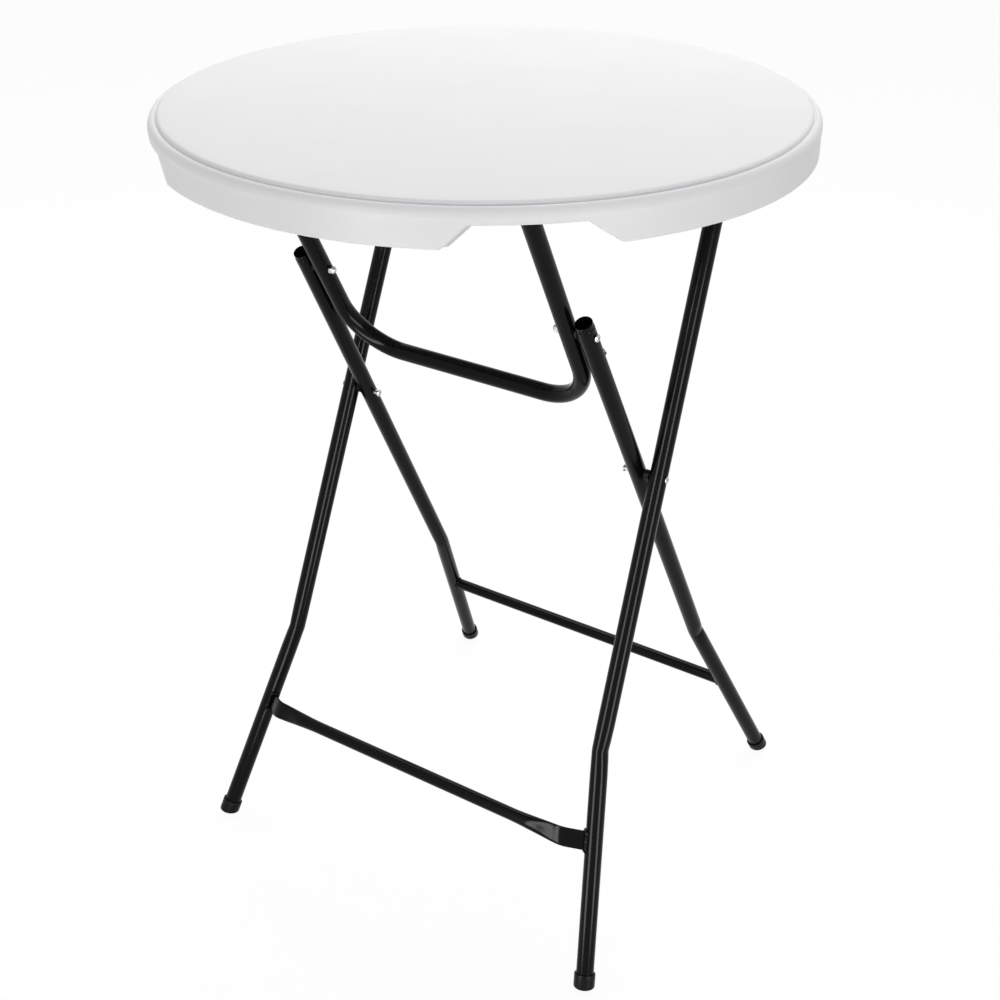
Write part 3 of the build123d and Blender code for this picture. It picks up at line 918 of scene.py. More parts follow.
@dataclass
class MouldedTop(Assembly):
    """The round moulded top with its raised plateau, bead, skirt and leg notches.

    Attributes:
        skirt_depth: How far the skirt hangs below the plateau.
        bead_shoulder: Radius between the groove and the bead.
        apron_set_in: How far the skirt is inside the bead's widest place.
        apron_ease: Over what height the bead runs into the skirt.
        bead_step: A place on that run, as (inwards, downwards) from the bead's foot.
        notch_outset: How far the notches' middles are outside the crossing legs.
        notch_half_base, notch_half_top: Half widths of a notch's mouth and of its top.
        dimple_pitch: Distance between the cones that tie the skins together.
        dimple_edge_margin: How far the cones stay off the skirt.
        bracket_clearance: How far they stay off a bracket's middle, in X and Y.
    """

    skirt_depth: float = 48.0
    skirt_wall: float = 14.0
    plateau_edge_radius: float = 4.2
    groove_width: float = 2.0
    groove_depth: float = 5.5
    bead_width: float = 9.0
    bead_shoulder: float = 1.5
    bead_height: float = 11.0
    apron_set_in: float = 0.5
    apron_ease: float = 2.4
    bead_step: tuple[float, float] = (0.3, 0.8)
    groove_fillet: float = 0.5
    # Rings this far inside the plateau's edge keep its shading off the middle
    plateau_rings: tuple[float, ...] = (120.0, 60.0, 18.0)
    skirt_edge_radius: float = 2.0
    recess_corner_radius: float = 4.0
    notch_outset: float = 21.0
    notch_half_base: float = 70.0
    notch_half_top: float = 46.5
    notch_corner_radius: float = 6.0
    dimple_pitch: float = 92.0
    dimple_mouth_radius: float = 15.0
    dimple_floor_radius: float = 9.0
    dimple_depth: float = 12.0
    dimple_edge_margin: float = 26.0
    bracket_clearance: tuple[float, float] = (45.0, 41.0)

    @property
    def skirt_bottom(self) -> float:
        """Height of the skirt's lower edge."""
        return self.sizes.height - self.skirt_depth

    @property
    def notch_middle(self) -> float:
        """X of the middle of the right notch."""
        legs = (self.sizes.outer_cross_half + self.sizes.inner_cross_half) / 2
        return legs + self.notch_outset

    def notch_outline(self) -> Profile:
        """Give the rounded edge of half a notch.

        Returns:
            Points as (distance from the notch's middle, height of the edge).
        """
        top, bottom, corner = self.sizes.underside, self.skirt_bottom, self.notch_corner_radius
        slope = math.atan2(top - bottom, self.notch_half_base - self.notch_half_top)
        reach = corner * math.tan(slope / 2)
        low = (self.notch_half_base + reach, bottom + corner)
        high = (self.notch_half_top - reach, top - corner)
        radii = (corner, corner)
        turn = math.degrees(slope)
        lower = arc(low, radii, 270, 270 - turn, 8)
        upper = arc(high, radii, 90 - turn, 90, 8)
        return list(reversed(lower + upper))

    def lower_edge(self, x: float, y: float) -> float:
        """Give the height of the skirt's lower edge, with the notches in its front.

        Args:
            x: Place across the table.
            y: Place along the table.

        Returns:
            The edge's height.
        """
        if y > 0:
            return self.skirt_bottom
        outline = self.notch_outline()
        distance = abs(abs(x) - self.notch_middle)
        if distance <= outline[0][0]:
            return self.sizes.underside
        for (x_low, z_low), (x_high, z_high) in zip(outline, outline[1:]):
            if distance <= x_high:
                share = (distance - x_low) / (x_high - x_low)
                return z_low + share * (z_high - z_low)
        return self.skirt_bottom

    def angles(self) -> list[float]:
        """Give the angles of the sections, 1 mm apart at the sides of the notches.

        Returns:
            Angles from +X, in radians and in order.
        """
        even, outside, inside, least = 256, 8, 34, 0.0009
        steps = [math.radians(360 * i / even) for i in range(even)]
        for side in (-1, 1):
            for edge in (-self.notch_half_base - outside, self.notch_half_base - inside):
                for i in range(outside + inside + 1):
                    x = self.notch_middle + edge + i
                    lean = math.asin(x / (self.sizes.top_radius - self.skirt_wall / 2))
                    steps.append((-math.pi / 2 + side * lean) % (2 * math.pi))
        spread = sorted(steps)
        kept = [spread[0]]
        for angle in spread[1:]:
            if angle - kept[-1] > least:
                kept.append(angle)
        return kept

    def section(self, angle: float) -> Profile:
        """Give the profile at an angle.

        The inside of the skirt is kept between its edge and the panel's underside, since
        it has no height in the notches.

        Args:
            angle: Direction from the middle of the top, from +X.

        Returns:
            Points as (radius, height), from the plateau round to the underside.
        """
        height, radius = self.sizes.height, self.sizes.top_radius
        underside = self.sizes.underside
        plateau = radius - self.bead_width - self.groove_width
        floor = height - self.groove_depth
        shoulder, edge = self.bead_shoulder, self.skirt_edge_radius
        crown = radius - self.bead_width + shoulder
        bead_foot = floor + shoulder - self.bead_height
        apron, start = radius - self.apron_set_in, bead_foot - self.apron_ease
        inside, corner = radius - self.skirt_wall, self.recess_corner_radius
        top, fillet = self.plateau_edge_radius, self.groove_fillet
        points = [(plateau - margin, height) for margin in self.plateau_rings]
        points += arc((plateau - top, height - top), (top, top), 90, 0, 8)
        points += arc((plateau + fillet, floor + fillet), (fillet, fillet), 180, 270, 2)
        points += arc((crown, floor), (shoulder, shoulder), 180, 90, 4)
        points += arc((crown, bead_foot), (radius - crown, self.bead_height), 90, 0, 12)[1:]
        points += [(radius - self.bead_step[0], bead_foot - self.bead_step[1]), (apron, start)]
        x, y = math.cos(angle), math.sin(angle)
        low = self.lower_edge(apron * x, apron * y)
        points += [(apron, start + share * (low + edge - start)) for share in (0.35, 0.7)]
        points += arc((apron - edge, low + edge), (edge, edge), 0, -90, 4)
        low = self.lower_edge(inside * x, inside * y)
        inner = arc((inside + edge, low + edge), (edge, edge), 270, 180, 4)
        inner.append((inside, (low + underside - corner) / 2))
        inner += arc((inside - corner, underside - corner), (corner, corner), 0, 90, 5)
        points += [(r, min(max(z, low), underside)) for r, z in inner]
        return points

    def dimple_places(self) -> list[tuple[float, float]]:
        """Give the middles of the cones that tie the two skins of the top together.

        Returns:
            X and Y of each.
        """
        reach = self.sizes.top_radius - self.skirt_wall - self.dimple_edge_margin
        pitch, row_pitch = self.dimple_pitch, self.dimple_pitch * math.sqrt(3) / 2
        rows, columns = int(reach / row_pitch), int(reach / pitch) + 1
        clear_x, clear_y = self.bracket_clearance
        brackets = [
            (self.sizes.outer_half_at_pivot, self.sizes.pivot_setback),
            (self.sizes.hoop_half, -self.sizes.pivot_setback),
        ]
        places = []
        for row, column in product(range(-rows, rows + 1), range(-columns, columns + 1)):
            x, y = column * pitch + (pitch / 2 if row % 2 else 0), row * row_pitch
            blocked = any(
                abs(abs(x) - bx) <= clear_x and abs(y - by) <= clear_y for bx, by in brackets
            )
            if math.hypot(x, y) < reach and not blocked:
                places.append((x, y))
        return places

    def build(self) -> None:
        """Make the moulding and hand it to the workshop."""
        angles, underside = self.angles(), self.sizes.underside
        surface = Surface()
        columns = [self.section(angle) for angle in angles]
        rings = []
        for level in zip(*columns):
            row = [(r * math.cos(a), r * math.sin(a), z) for (r, z), a in zip(level, angles)]
            rings.append(surface.ring(row))
        surface.skin(rings)
        top = surface.ring([(0, 0, self.sizes.height)])
        surface.join(top, rings[0])
        surface.close(rings[-1])
        mesh = surface.mesh("top_moulding", 50.0)
        # Each cone has a flared mouth, a straight side and a rounded end
        cutter = Surface()
        mouth, floor, depth = self.dimple_mouth_radius, self.dimple_floor_radius, self.dimple_depth
        profile = [(0, -4), (mouth + 2.4, -4), (mouth + 1.6, 0.0)]
        profile += [(mouth + 0.6, 0.5), (mouth - 0.1, 1.6), (floor + 1.2, depth - 1.6)]
        profile += [(floor + 0.3, depth - 0.5), (floor - 1.0, depth), (0, depth)]
        for x, y in self.dimple_places():
            cutter.lathe(Matrix.Translation((x, y, underside)), profile, 32)
        cut(mesh, cutter.mesh("dimples"))
        tidy_mesh(mesh, 50.0)
        keep_flat(mesh, underside * MM)
        self.shop.place(mesh, Body.TOP, Slot.TOP, "table_top")


def keep_flat(mesh: bpy.types.Mesh, height: float) -> None:
    """Keep the smooth shading of its neighbours off a level face.

    Args:
        mesh: The mesh, in metres.
        height: Height of the face, in metres.
    """
    work = bmesh.new()
    work.from_mesh(mesh)
    near = 0.01 * MM
    for edge in work.edges:
        level = [
            all(abs(vert.co.z - height) < near for vert in face.verts) for face in edge.link_faces
        ]
        if any(level) and not all(level):
            edge.smooth = False
    work.to_mesh(mesh)
    work.free()


def cut(mesh: bpy.types.Mesh, cutter: bpy.types.Mesh) -> None:
    """Take one mesh away from another.

    Args:
        mesh: The mesh that is cut.
        cutter: The mesh that cuts it, which is used up.
    """
    pair = [add_object("cut_" + part.name, part) for part in (mesh, cutter)]
    modifier = pair[0].modifiers.new("cut", "BOOLEAN")
    modifier.operation = "DIFFERENCE"
    modifier.solver = "EXACT"
    modifier.object = pair[1]
    graph = bpy.context.evaluated_depsgraph_get()
    result = bpy.data.meshes.new_from_object(pair[0].evaluated_get(graph))
    work = bmesh.new()
    work.from_mesh(result)
    work.to_mesh(mesh)
    work.free()
    for item in pair:
        bpy.data.objects.remove(item)
    for used in (cutter, result):
        bpy.data.meshes.remove(used)


@dataclass
class Fastener:
    """A bolt, nut or washer on a hinge axis that runs along X.

    Attributes:
        sizes: The table's sizes.
        axis: A point on the hinge axis.
        neck_radius: Radius of the collar under a head that stands off its seat.
        recess_reach, recess_width, recess_depth: Size of the cross in a head.
        recess_turn: How far the cross is turned, in radians.
    """

    sizes: TableSizes
    axis: Vector
    nut_across_flats: float = 10.0
    dome_radius: float = 4.2
    washer_radius: float = 6.5
    neck_radius: float = 3.3
    recess_reach: float = 2.5
    recess_width: float = 1.3
    recess_depth: float = 1.7
    recess_turn: float = 0.5
    bore_play: float = 0.05

    def frame(self, x: float, away: float) -> Matrix:
        """Give the frame of a seat at an X, with its Z axis pointing away from it."""
        return along(Vector((x, self.axis.y, self.axis.z)), Vector((away, 0, 0)))

    def bolt(
        self,
        name: str,
        x_seat: float,
        x_tip: float,
        head_radius: float,
        head_height: float,
        neck: float = 0.0,
    ) -> bpy.types.Mesh:
        """Make a bolt with a low domed head and a cross recess.

        Args:
            name: Name of the mesh.
            x_seat: X of the face under the head.
            x_tip: X of the shank's end.
            head_radius: Radius of the head.
            head_height: Height of the head.
            neck: How far the head stands off its seat, on a collar.

        Returns:
            The mesh.
        """
        shank, length = self.sizes.bolt_radius, abs(x_seat - x_tip)
        frame = self.frame(x_seat, math.copysign(1, x_seat - x_tip))
        rim, chamfer, edge = 0.27 * head_height, 0.8, 0.2
        profile = [(0, -length), (shank - chamfer, -length), (shank, chamfer - length), (shank, 0)]
        if neck:
            profile += [(self.neck_radius, 0), (self.neck_radius, neck)]
        profile += [(head_radius - edge, neck), (head_radius, neck + edge)]
        profile.append((head_radius, neck + rim))
        profile += arc((0, neck + rim), (head_radius, head_height - rim), 0, 90, 10)[1:-1]
        profile += [(0, neck + head_height)]
        surface, recess = Surface(), Surface()
        surface.lathe(frame, profile, 40)
        turn = Matrix.Rotation(self.recess_turn, 4, "Z")
        crown = frame @ Matrix.Translation((0, 0, neck + head_height)) @ turn
        recess.cross(crown, self.recess_reach, self.recess_width, self.recess_depth)
        return with_recess(surface, recess, name)

    def washer(self, x_start: float, x_end: float) -> Surface:
        """Make a washer between two X values.

        Args:
            x_start: One face.
            x_end: The other.

        Returns:
            The surface.
        """
        low, high = sorted((x_start, x_end))
        outer, inner, edge = self.washer_radius, self.sizes.bolt_radius + self.bore_play, 0.3
        profile = [(inner, 0), (outer - edge, 0), (outer, edge), (outer, high - low - edge)]
        profile += [(outer - edge, high - low), (inner, high - low), (inner, 0)]
        surface = Surface()
        surface.lathe(self.frame(low, 1), profile, 40)
        return surface

    def nut(self, x_seat: float, away: float, height: float, dome: float = 0.0) -> Surface:
        """Make a hexagon nut with rounded corners, open or domed.

        Args:
            x_seat: X of its seat.
            away: The way that it faces, 1 or -1.
            height: Height of the hexagon.
            dome: Full height with its dome, or 0 for an open nut.

        Returns:
            The surface.
        """
        frame, flat, sixth = self.frame(x_seat, away), self.nut_across_flats / 2, math.pi / 3
        corner, bore = flat / math.cos(sixth / 2), self.sizes.bolt_radius + self.bore_play
        # The chamfer on the corners starts 1.1 mm below the top and gets steeper
        levels = [(0.0, corner - 0.6), (0.35, corner)]
        levels += [(height - 1.1 + 0.22 * i, corner - 0.16 * i * i / 2.2) for i in range(6)]
        surface, rings, count = Surface(), [], 96
        for z, limit in levels:
            row = []
            for i in range(count):
                angle = 2 * math.pi * i / count
                bend = (angle + sixth / 2) % sixth - sixth / 2
                reach = min(flat / math.cos(bend), limit)
                row.append(frame @ Vector((reach * math.cos(angle), reach * math.sin(angle), z)))
            rings.append(surface.ring(row))
        if dome:
            radius, crown = self.dome_radius, self.dome_radius * 0.75
            foot = dome - crown
            tail = [(radius + 0.3, height), (radius, height + 0.3), (radius, foot)]
            tail += arc((0, foot), (radius, crown), 0, 84, 8)[1:]
        else:
            tail = [(bore + 0.5, height), (bore, height - 0.5), (bore, 0.2)]
        for radius, z in tail:
            rings.append(surface.ring(frame @ point for point in circle(radius, z, count)))
        surface.skin(rings)
        surface.close(rings[-1])
        surface.close(rings[0])
        return surface


def with_recess(surface: Surface, recess: Surface, name: str) -> bpy.types.Mesh:
    """Make the mesh of a screw or bolt, less the cross in its head.

    Args:
        surface: The screw.
        recess: What is taken out of it.
        name: Name of the mesh.

    Returns:
        The mesh.
    """
    mesh = surface.mesh(name)
    cut(mesh, recess.mesh("recess"))
    tidy_mesh(mesh, 38.0)
    return mesh


@dataclass
class TopHardware(Assembly):
    """The pressed brackets under the top, their screws and the pivot bolts.

    Attributes:
        sheet: Thickness of the brackets.
        bracket_edge: Radius of their edges.
        side_clearance: Gap between a tube and each side of its bracket.
        flange: Width of a bracket's flanges, with the screws in their middle.
        screw_spacing: Distance between a flange's two screws.
        recess: Reach, width and depth of the cross in a screw.
        thread_past_nut: How far a bolt sticks out of its nut.
    """

    sheet: float = 2.0
    bracket_edge: float = 0.4
    side_clearance: float = 0.9
    flange: float = 15.0
    screw_spacing: float = 34.0
    screw_radius: float = 2.4
    screw_length: float = 3.0
    screw_head_radius: float = 4.5
    screw_head_height: float = 2.4
    screw_rim: float = 0.7
    recess: tuple[float, float, float] = (2.2, 1.1, 1.5)
    head_radius: float = 6.0
    head_height: float = 2.8
    nut_height: float = 5.0
    thread_past_nut: float = 0.8

    @property
    def pivots(self) -> dict[str, tuple[float, float, float]]:
        """X and Y of the right-hand pivots, and the radius of the tube that turns there."""
        sizes = self.sizes
        return {
            "outer": (sizes.outer_half_at_pivot, sizes.pivot_setback, sizes.outer_radius),
            "hoop": (sizes.hoop_half, -sizes.pivot_setback, sizes.hoop_radius),
        }

    def screws(self) -> bpy.types.Mesh:
        """Make the sixteen pan-head screws with their cross recesses.

        Returns:
            The mesh of all of them.
        """
        surface, recesses = Surface(), Surface()
        seat = self.sizes.underside - self.sheet
        shank, rim = self.screw_radius, self.screw_rim
        radius, height = self.screw_head_radius, self.screw_head_height
        profile = [(shank, -self.screw_length), (shank, 0), (radius - 0.1, 0), (radius, 0.2)]
        profile += [(radius, rim), *arc((0, rim), (radius, height - rim), 8, 84, 7), (0, height)]
        for x_centre, y_centre, tube in self.pivots.values():
            x_offset = tube + self.side_clearance + self.sheet + self.flange / 2
            for side, i, j in product((-1, 1), repeat=3):
                x = side * (x_centre + i * x_offset)
                y = y_centre + j * self.screw_spacing / 2
                frame = along(Vector((x, y, seat)), Vector((0, 0, -1)))
                surface.lathe(frame, profile, 32)
                # No two screws are driven home at the same angle
                turn = Matrix.Rotation(x + y, 4, "Z")
                recesses.cross(frame @ Matrix.Translation((0, 0, height)) @ turn, *self.recess)
        return with_recess(surface, recesses, "pan_head_screws")

    def build(self) -> None:
        """Make the brackets, screws and pivot bolts."""
        for side, kind in product(("right", "left"), self.pivots):
            name = f"{kind}_pressed_bracket_{side}"
            self.shop.soften(f"{kind}_bracket_{side}", name, Body.TOP, Slot.TUBE, self.bracket_edge)
        self.shop.place(self.screws(), Body.TOP, Slot.ZINC, "bracket_screws")
        for kind, (half, y, tube) in self.pivots.items():
            name = kind + "_pivot"
            fastener = Fastener(self.sizes, Vector((0, y, self.sizes.pivot_height)))
            seat = tube + self.side_clearance + self.sheet
            tip = half - seat - self.nut_height - self.thread_past_nut
            head = (self.head_radius, self.head_height)
            bolt = fastener.bolt(name + "_domed_bolt", half + seat, tip, *head)
            self.shop.place_pair(bolt, Body.TOP, Slot.ZINC, name + "_bolt")
            nut = fastener.nut(half - seat, -1, self.nut_height)
            hex_nut = nut.mesh(name + "_hex_nut", 25.0)
            self.shop.place_pair(hex_nut, Body.TOP, Slot.ZINC, name + "_nut")


def foot_cap(
    sizes: TableSizes,
    plane: Matrix,
    half: Callable[[float], float],
    tube_radius: float,
) -> Surface:
    """Make a moulded cap on the foot of a leg, cut nearly square to it.

    The cap stands on its heel, and its sole lifts off the floor away from that.

    Args:
        sizes: The table's sizes.
        plane: The frame of the leg.
        half: Gives the half width of the frame at a rise.
        tube_radius: Outside radius of the leg.

    Returns:
        The surface.
    """
    foot = plane @ Vector((half(0), 0, 0))
    up = (plane @ Vector((half(100), 100, 0)) - foot).normalized()
    frame = along(foot, up)
    radius, count = tube_radius + sizes.cap_wall, 48
    surface, rings = Surface(), []
    vertical = Vector((0, 0, 1))
    low = (up * up.z - vertical).normalized()
    heel = foot + low * radius - up * (low.z * radius / up.z)
    sole = vertical.lerp(up, sizes.sole_share).normalized()

    def on_sole(reach: float, height: float) -> list[Vector]:
        """Give a ring round the leg, at a height off the plane of the sole."""
        row = [frame @ point for point in circle(reach, 0, count)]
        return [point + up * ((height - (point - heel).dot(sole)) / up.dot(sole)) for point in row]

    edge, shoulder = 1.0, 1.5
    for reach, height in arc((radius - edge, edge), (edge, edge), -90, 0, 4):
        rings.append(surface.ring(on_sole(reach, height)))
    wall_foot = [surface.points[index] for index in rings[3]]
    wall_top = [frame @ point for point in circle(radius, sizes.cap_length - shoulder, count)]
    for share in (0.35, 0.7):
        rings.append(surface.ring(a.lerp(b, share) for a, b in zip(wall_foot, wall_top)))
    lip = arc((radius - shoulder, sizes.cap_length - shoulder), (shoulder, shoulder), 0, 80, 5)
    lip.append((tube_radius + 0.25, sizes.cap_length - 0.15))
    lip.append((tube_radius - 0.2, sizes.cap_length - 1.2))
    for reach, height in lip:
        rings.append(surface.ring(frame @ point for point in circle(reach, height, count)))
    surface.skin(rings)
    surface.close(rings[0])
    surface.close(rings[-1])
    return surface


def bead(surface: Surface, path: Sequence[Vector], radius: float, seed: float) -> None:
    """Lay a lumpy weld bead along a closed path.

    Args:
        surface: Where the points go.
        path: The bead's middle line, which ends next to its start.
        radius: Its mean radius.
        seed: Shifts the lumps, so that no two beads are alike.
    """
    swell, rough, rings = 0.35, 0.2, []
    for i, point in enumerate(path):
        frame = along(point, (path[(i + 1) % len(path)] - path[i - 1]).normalized())
        lump = noise.noise(Vector((i * 0.55, seed, 0))) * swell
        row = []
        for k, spot in enumerate(circle(radius, 0, 12)):
            share = 1 + lump + rough * noise.noise(Vector((i * 0.9, k * 0.8, seed)))
            row.append(frame @ (spot * share))
        rings.append(surface.ring(row))
    surface.skin([*rings, rings[0]])


@dataclass
class OuterFrame(Assembly):
    """The outer legs, the crossbar with pressed ends welded to them, and the caps.

    Attributes:
        bar_rise: Height of the bar up the legs.
        bar_standoff: How far the bar is in front of the legs' plane.
        tongue_lean: How far the bar's ends bend back to the legs, in degrees.
        tongue_bend_radius: Radius of that bend.
        press_start, press_end: Distances from the leg where the bar starts to get
            higher and where it has its full height.
        thin_start, thin_end: The same for its thickness.
        marks: How the legs' bends press them.
        weld_radius: Mean radius of the bead round each end of the bar.
        weld_spread: Half the angle round the leg that the bead takes, in degrees.
        weld_set_off: How far its middle line is off the leg.
        weld_wobble: How far it wanders from that.
        weld_seed: Gives its lumps their places.
        cap_radius, cap_height: Size of the head outside the crossing.
    """

    bar_rise: float = 200.5
    bar_standoff: float = 26.0
    tongue_lean: float = 35.0
    tongue_bend_radius: float = 28.0
    press_start: float = 118.0
    press_end: float = 33.0
    thin_start: float = 90.0
    thin_end: float = 48.0
    tongue_height: float = 26.0
    tongue_thickness: float = 5.0
    marks: BendMarks = BendMarks(0.05, 0.05, 22.0)
    weld_radius: float = 2.3
    weld_spread: float = 25.0
    weld_set_off: float = 1.0
    weld_wobble: float = 0.5
    weld_seed: float = 3.1
    cap_radius: float = 4.7
    cap_height: float = 1.7

    def legs(self) -> None:
        """Make the bent legs and their caps."""
        sizes, plane = self.sizes, self.sizes.outer_plane()
        end = sizes.outer_length + sizes.tube_end_past_pivot
        knee = sizes.outer_knee_rise
        corners = [(sizes.outer_half(r), r) for r in (sizes.cap_sole, knee, end)]
        surface = Surface()
        stations = bent_path(corners, sizes.knee_radius)
        sweep_tube(surface, plane, stations, sizes.outer_radius, sizes.tube_wall, self.marks)
        self.shop.place_pair(surface.mesh("outer_tube"), Body.OUTER, Slot.TUBE, "outer_leg")
        cap = foot_cap(sizes, plane, sizes.outer_half, sizes.outer_radius)
        self.shop.place_pair(cap.mesh("outer_cap"), Body.OUTER, Slot.CAP, "outer_foot")

    def bar_path(self) -> list[Station]:
        """Follow the crossbar from its middle to its right end.

        Returns:
            Stations as (across, out from the legs' plane).
        """
        half, lean = self.sizes.outer_half(self.bar_rise), math.radians(self.tongue_lean)
        radius, standoff = self.tongue_bend_radius, self.bar_standoff
        bend_at = half - standoff / math.tan(lean) - radius * math.tan(lean / 2)
        press_at = half - self.press_start
        plain, pressed, bend, tongue = 4, 28, 12, 8
        places = [press_at * i / plain for i in range(plain)]
        places += [press_at + (bend_at - press_at) * i / pressed for i in range(pressed)]
        stations = [Station(Vector((x, standoff, 0)), Vector((1, 0, 0))) for x in places]
        for i in range(bend + 1):
            sine, cosine = math.sin(lean * i / bend), math.cos(lean * i / bend)
            centre = Vector((bend_at + radius * sine, standoff - radius * (1 - cosine), 0))
            stations.append(Station(centre, Vector((cosine, -sine, 0))))
        last, ahead = stations[-1].centre, stations[-1].tangent
        end = Vector((half, 0, 0)) - ahead * (self.sizes.outer_radius - self.sizes.tube_wall / 2)
        stations += [Station(last.lerp(end, i / tongue), ahead) for i in range(1, tongue + 1)]
        return stations

    def bar_ring(self, station: Station) -> list[Vector]:
        """Give the crossbar's section, round in its middle and pressed flat at its end.

        Args:
            station: A place along the bar.

        Returns:
            Points as (across, up the leg, out from the legs' plane).
        """
        sizes, count = self.sizes, 48
        # How much squarer than an ellipse the pressed section is, upwards and outwards
        square_up, square_out = 0.1, 0.55
        half = sizes.outer_half(self.bar_rise)
        press = smooth_step(self.press_start, self.press_end, half - station.centre.x)
        thin = smooth_step(self.thin_start, self.thin_end, half - station.centre.x)
        forward = Vector((-station.tangent.y, station.tangent.x, 0))
        high = sizes.bar_radius + (self.tongue_height / 2 - sizes.bar_radius) * press
        thick = sizes.bar_radius + (self.tongue_thickness / 2 - sizes.bar_radius) * thin
        points = []
        for i in range(count):
            turn = 2 * math.pi * i / count
            up, out = math.sin(turn), math.cos(turn)
            rise = high * math.copysign(abs(up) ** (1 - square_up * press), up)
            depth = thick * math.copysign(abs(out) ** (1 - square_out * thin**2), out)
            at = station.centre + forward * depth
            follow = (sizes.outer_half(self.bar_rise + rise) - half) * press
            points.append(Vector((at.x + follow, self.bar_rise + rise, at.y)))
        return points

    def crossbar(self) -> None:
        """Make the crossbar and the welds round its ends."""
        sizes, plane = self.sizes, self.sizes.outer_plane()
        flip = Matrix.Diagonal((-1, 1, 1, 1))
        right = [self.bar_ring(station) for station in self.bar_path()]
        left = [[flip @ point for point in ring] for ring in reversed(right[1:])]
        surface = Surface()
        rings = [surface.ring([plane @ point for point in ring]) for ring in left + right]
        surface.skin(rings)
        surface.close(rings[0])
        surface.close(rings[-1])
        mesh = surface.mesh("outer_crossbar_tube", 60.0)
        self.shop.place(mesh, Body.OUTER, Slot.TUBE, "outer_crossbar")

        weld, path = Surface(), []
        reach, high = sizes.outer_radius + self.weld_set_off, self.tongue_height / 2 + 0.2
        # Up the front side, over the top, and the same turned round for the rest
        loop = [(1, -1 + i / 12) for i in range(24)] + [(1 - i / 3, 1) for i in range(6)]
        loop += [(-side, -up) for side, up in loop]
        for i, (side, up) in enumerate(loop):
            turn = math.radians(180.0 - self.tongue_lean - self.weld_spread * side)
            rise = self.bar_rise + high * up
            away = reach + self.weld_wobble * math.sin(i * 1.9)
            across = sizes.outer_half(rise) + away * math.cos(turn)
            path.append(plane @ Vector((across, rise, away * math.sin(turn))))
        bead(weld, path, self.weld_radius, self.weld_seed)
        self.shop.place_pair(weld.mesh("outer_weld", 70.0), Body.OUTER, Slot.TUBE)

    def crossing(self) -> None:
        """Make the outer part of the bolt where the frames cross."""
        sizes = self.sizes
        axis = sizes.outer_plane() @ Vector((0, sizes.outer_crossing, 0))
        fastener = Fastener(sizes, axis)
        lift = fastener.nut_across_flats / 2 * sizes.splay
        seat = sizes.outer_cross_half + sizes.outer_wall + lift
        tip = seat - 1.0
        start = sizes.gap_middle + sizes.hinge_gap / 2
        shank, length, chamfer = sizes.bolt_radius, tip - start, 0.8
        profile = [(0, 0), (shank, 0), (shank, length - chamfer)]
        profile += [(shank - chamfer, length), (0, length)]
        stud = Surface()
        stud.lathe(fastener.frame(start, 1), profile, 36)
        self.shop.place_pair(stud.mesh("crossing_stud"), Body.OUTER, Slot.ZINC, "cross_stud")
        head = fastener.bolt("crossing_cap", seat, tip, self.cap_radius, self.cap_height)
        self.shop.place_pair(head, Body.OUTER, Slot.ZINC, "cross_nut")
        wall = sizes.outer_cross_half - sizes.outer_wall - fastener.washer_radius * sizes.splay
        washer = fastener.washer(start, wall).mesh("crossing_washer_outer")
        self.shop.place_pair(washer, Body.OUTER, Slot.NYLON, "cross_washer_outer")

    def build(self) -> None:
        """Make the whole frame."""
        self.legs()
        self.crossbar()
        self.crossing()


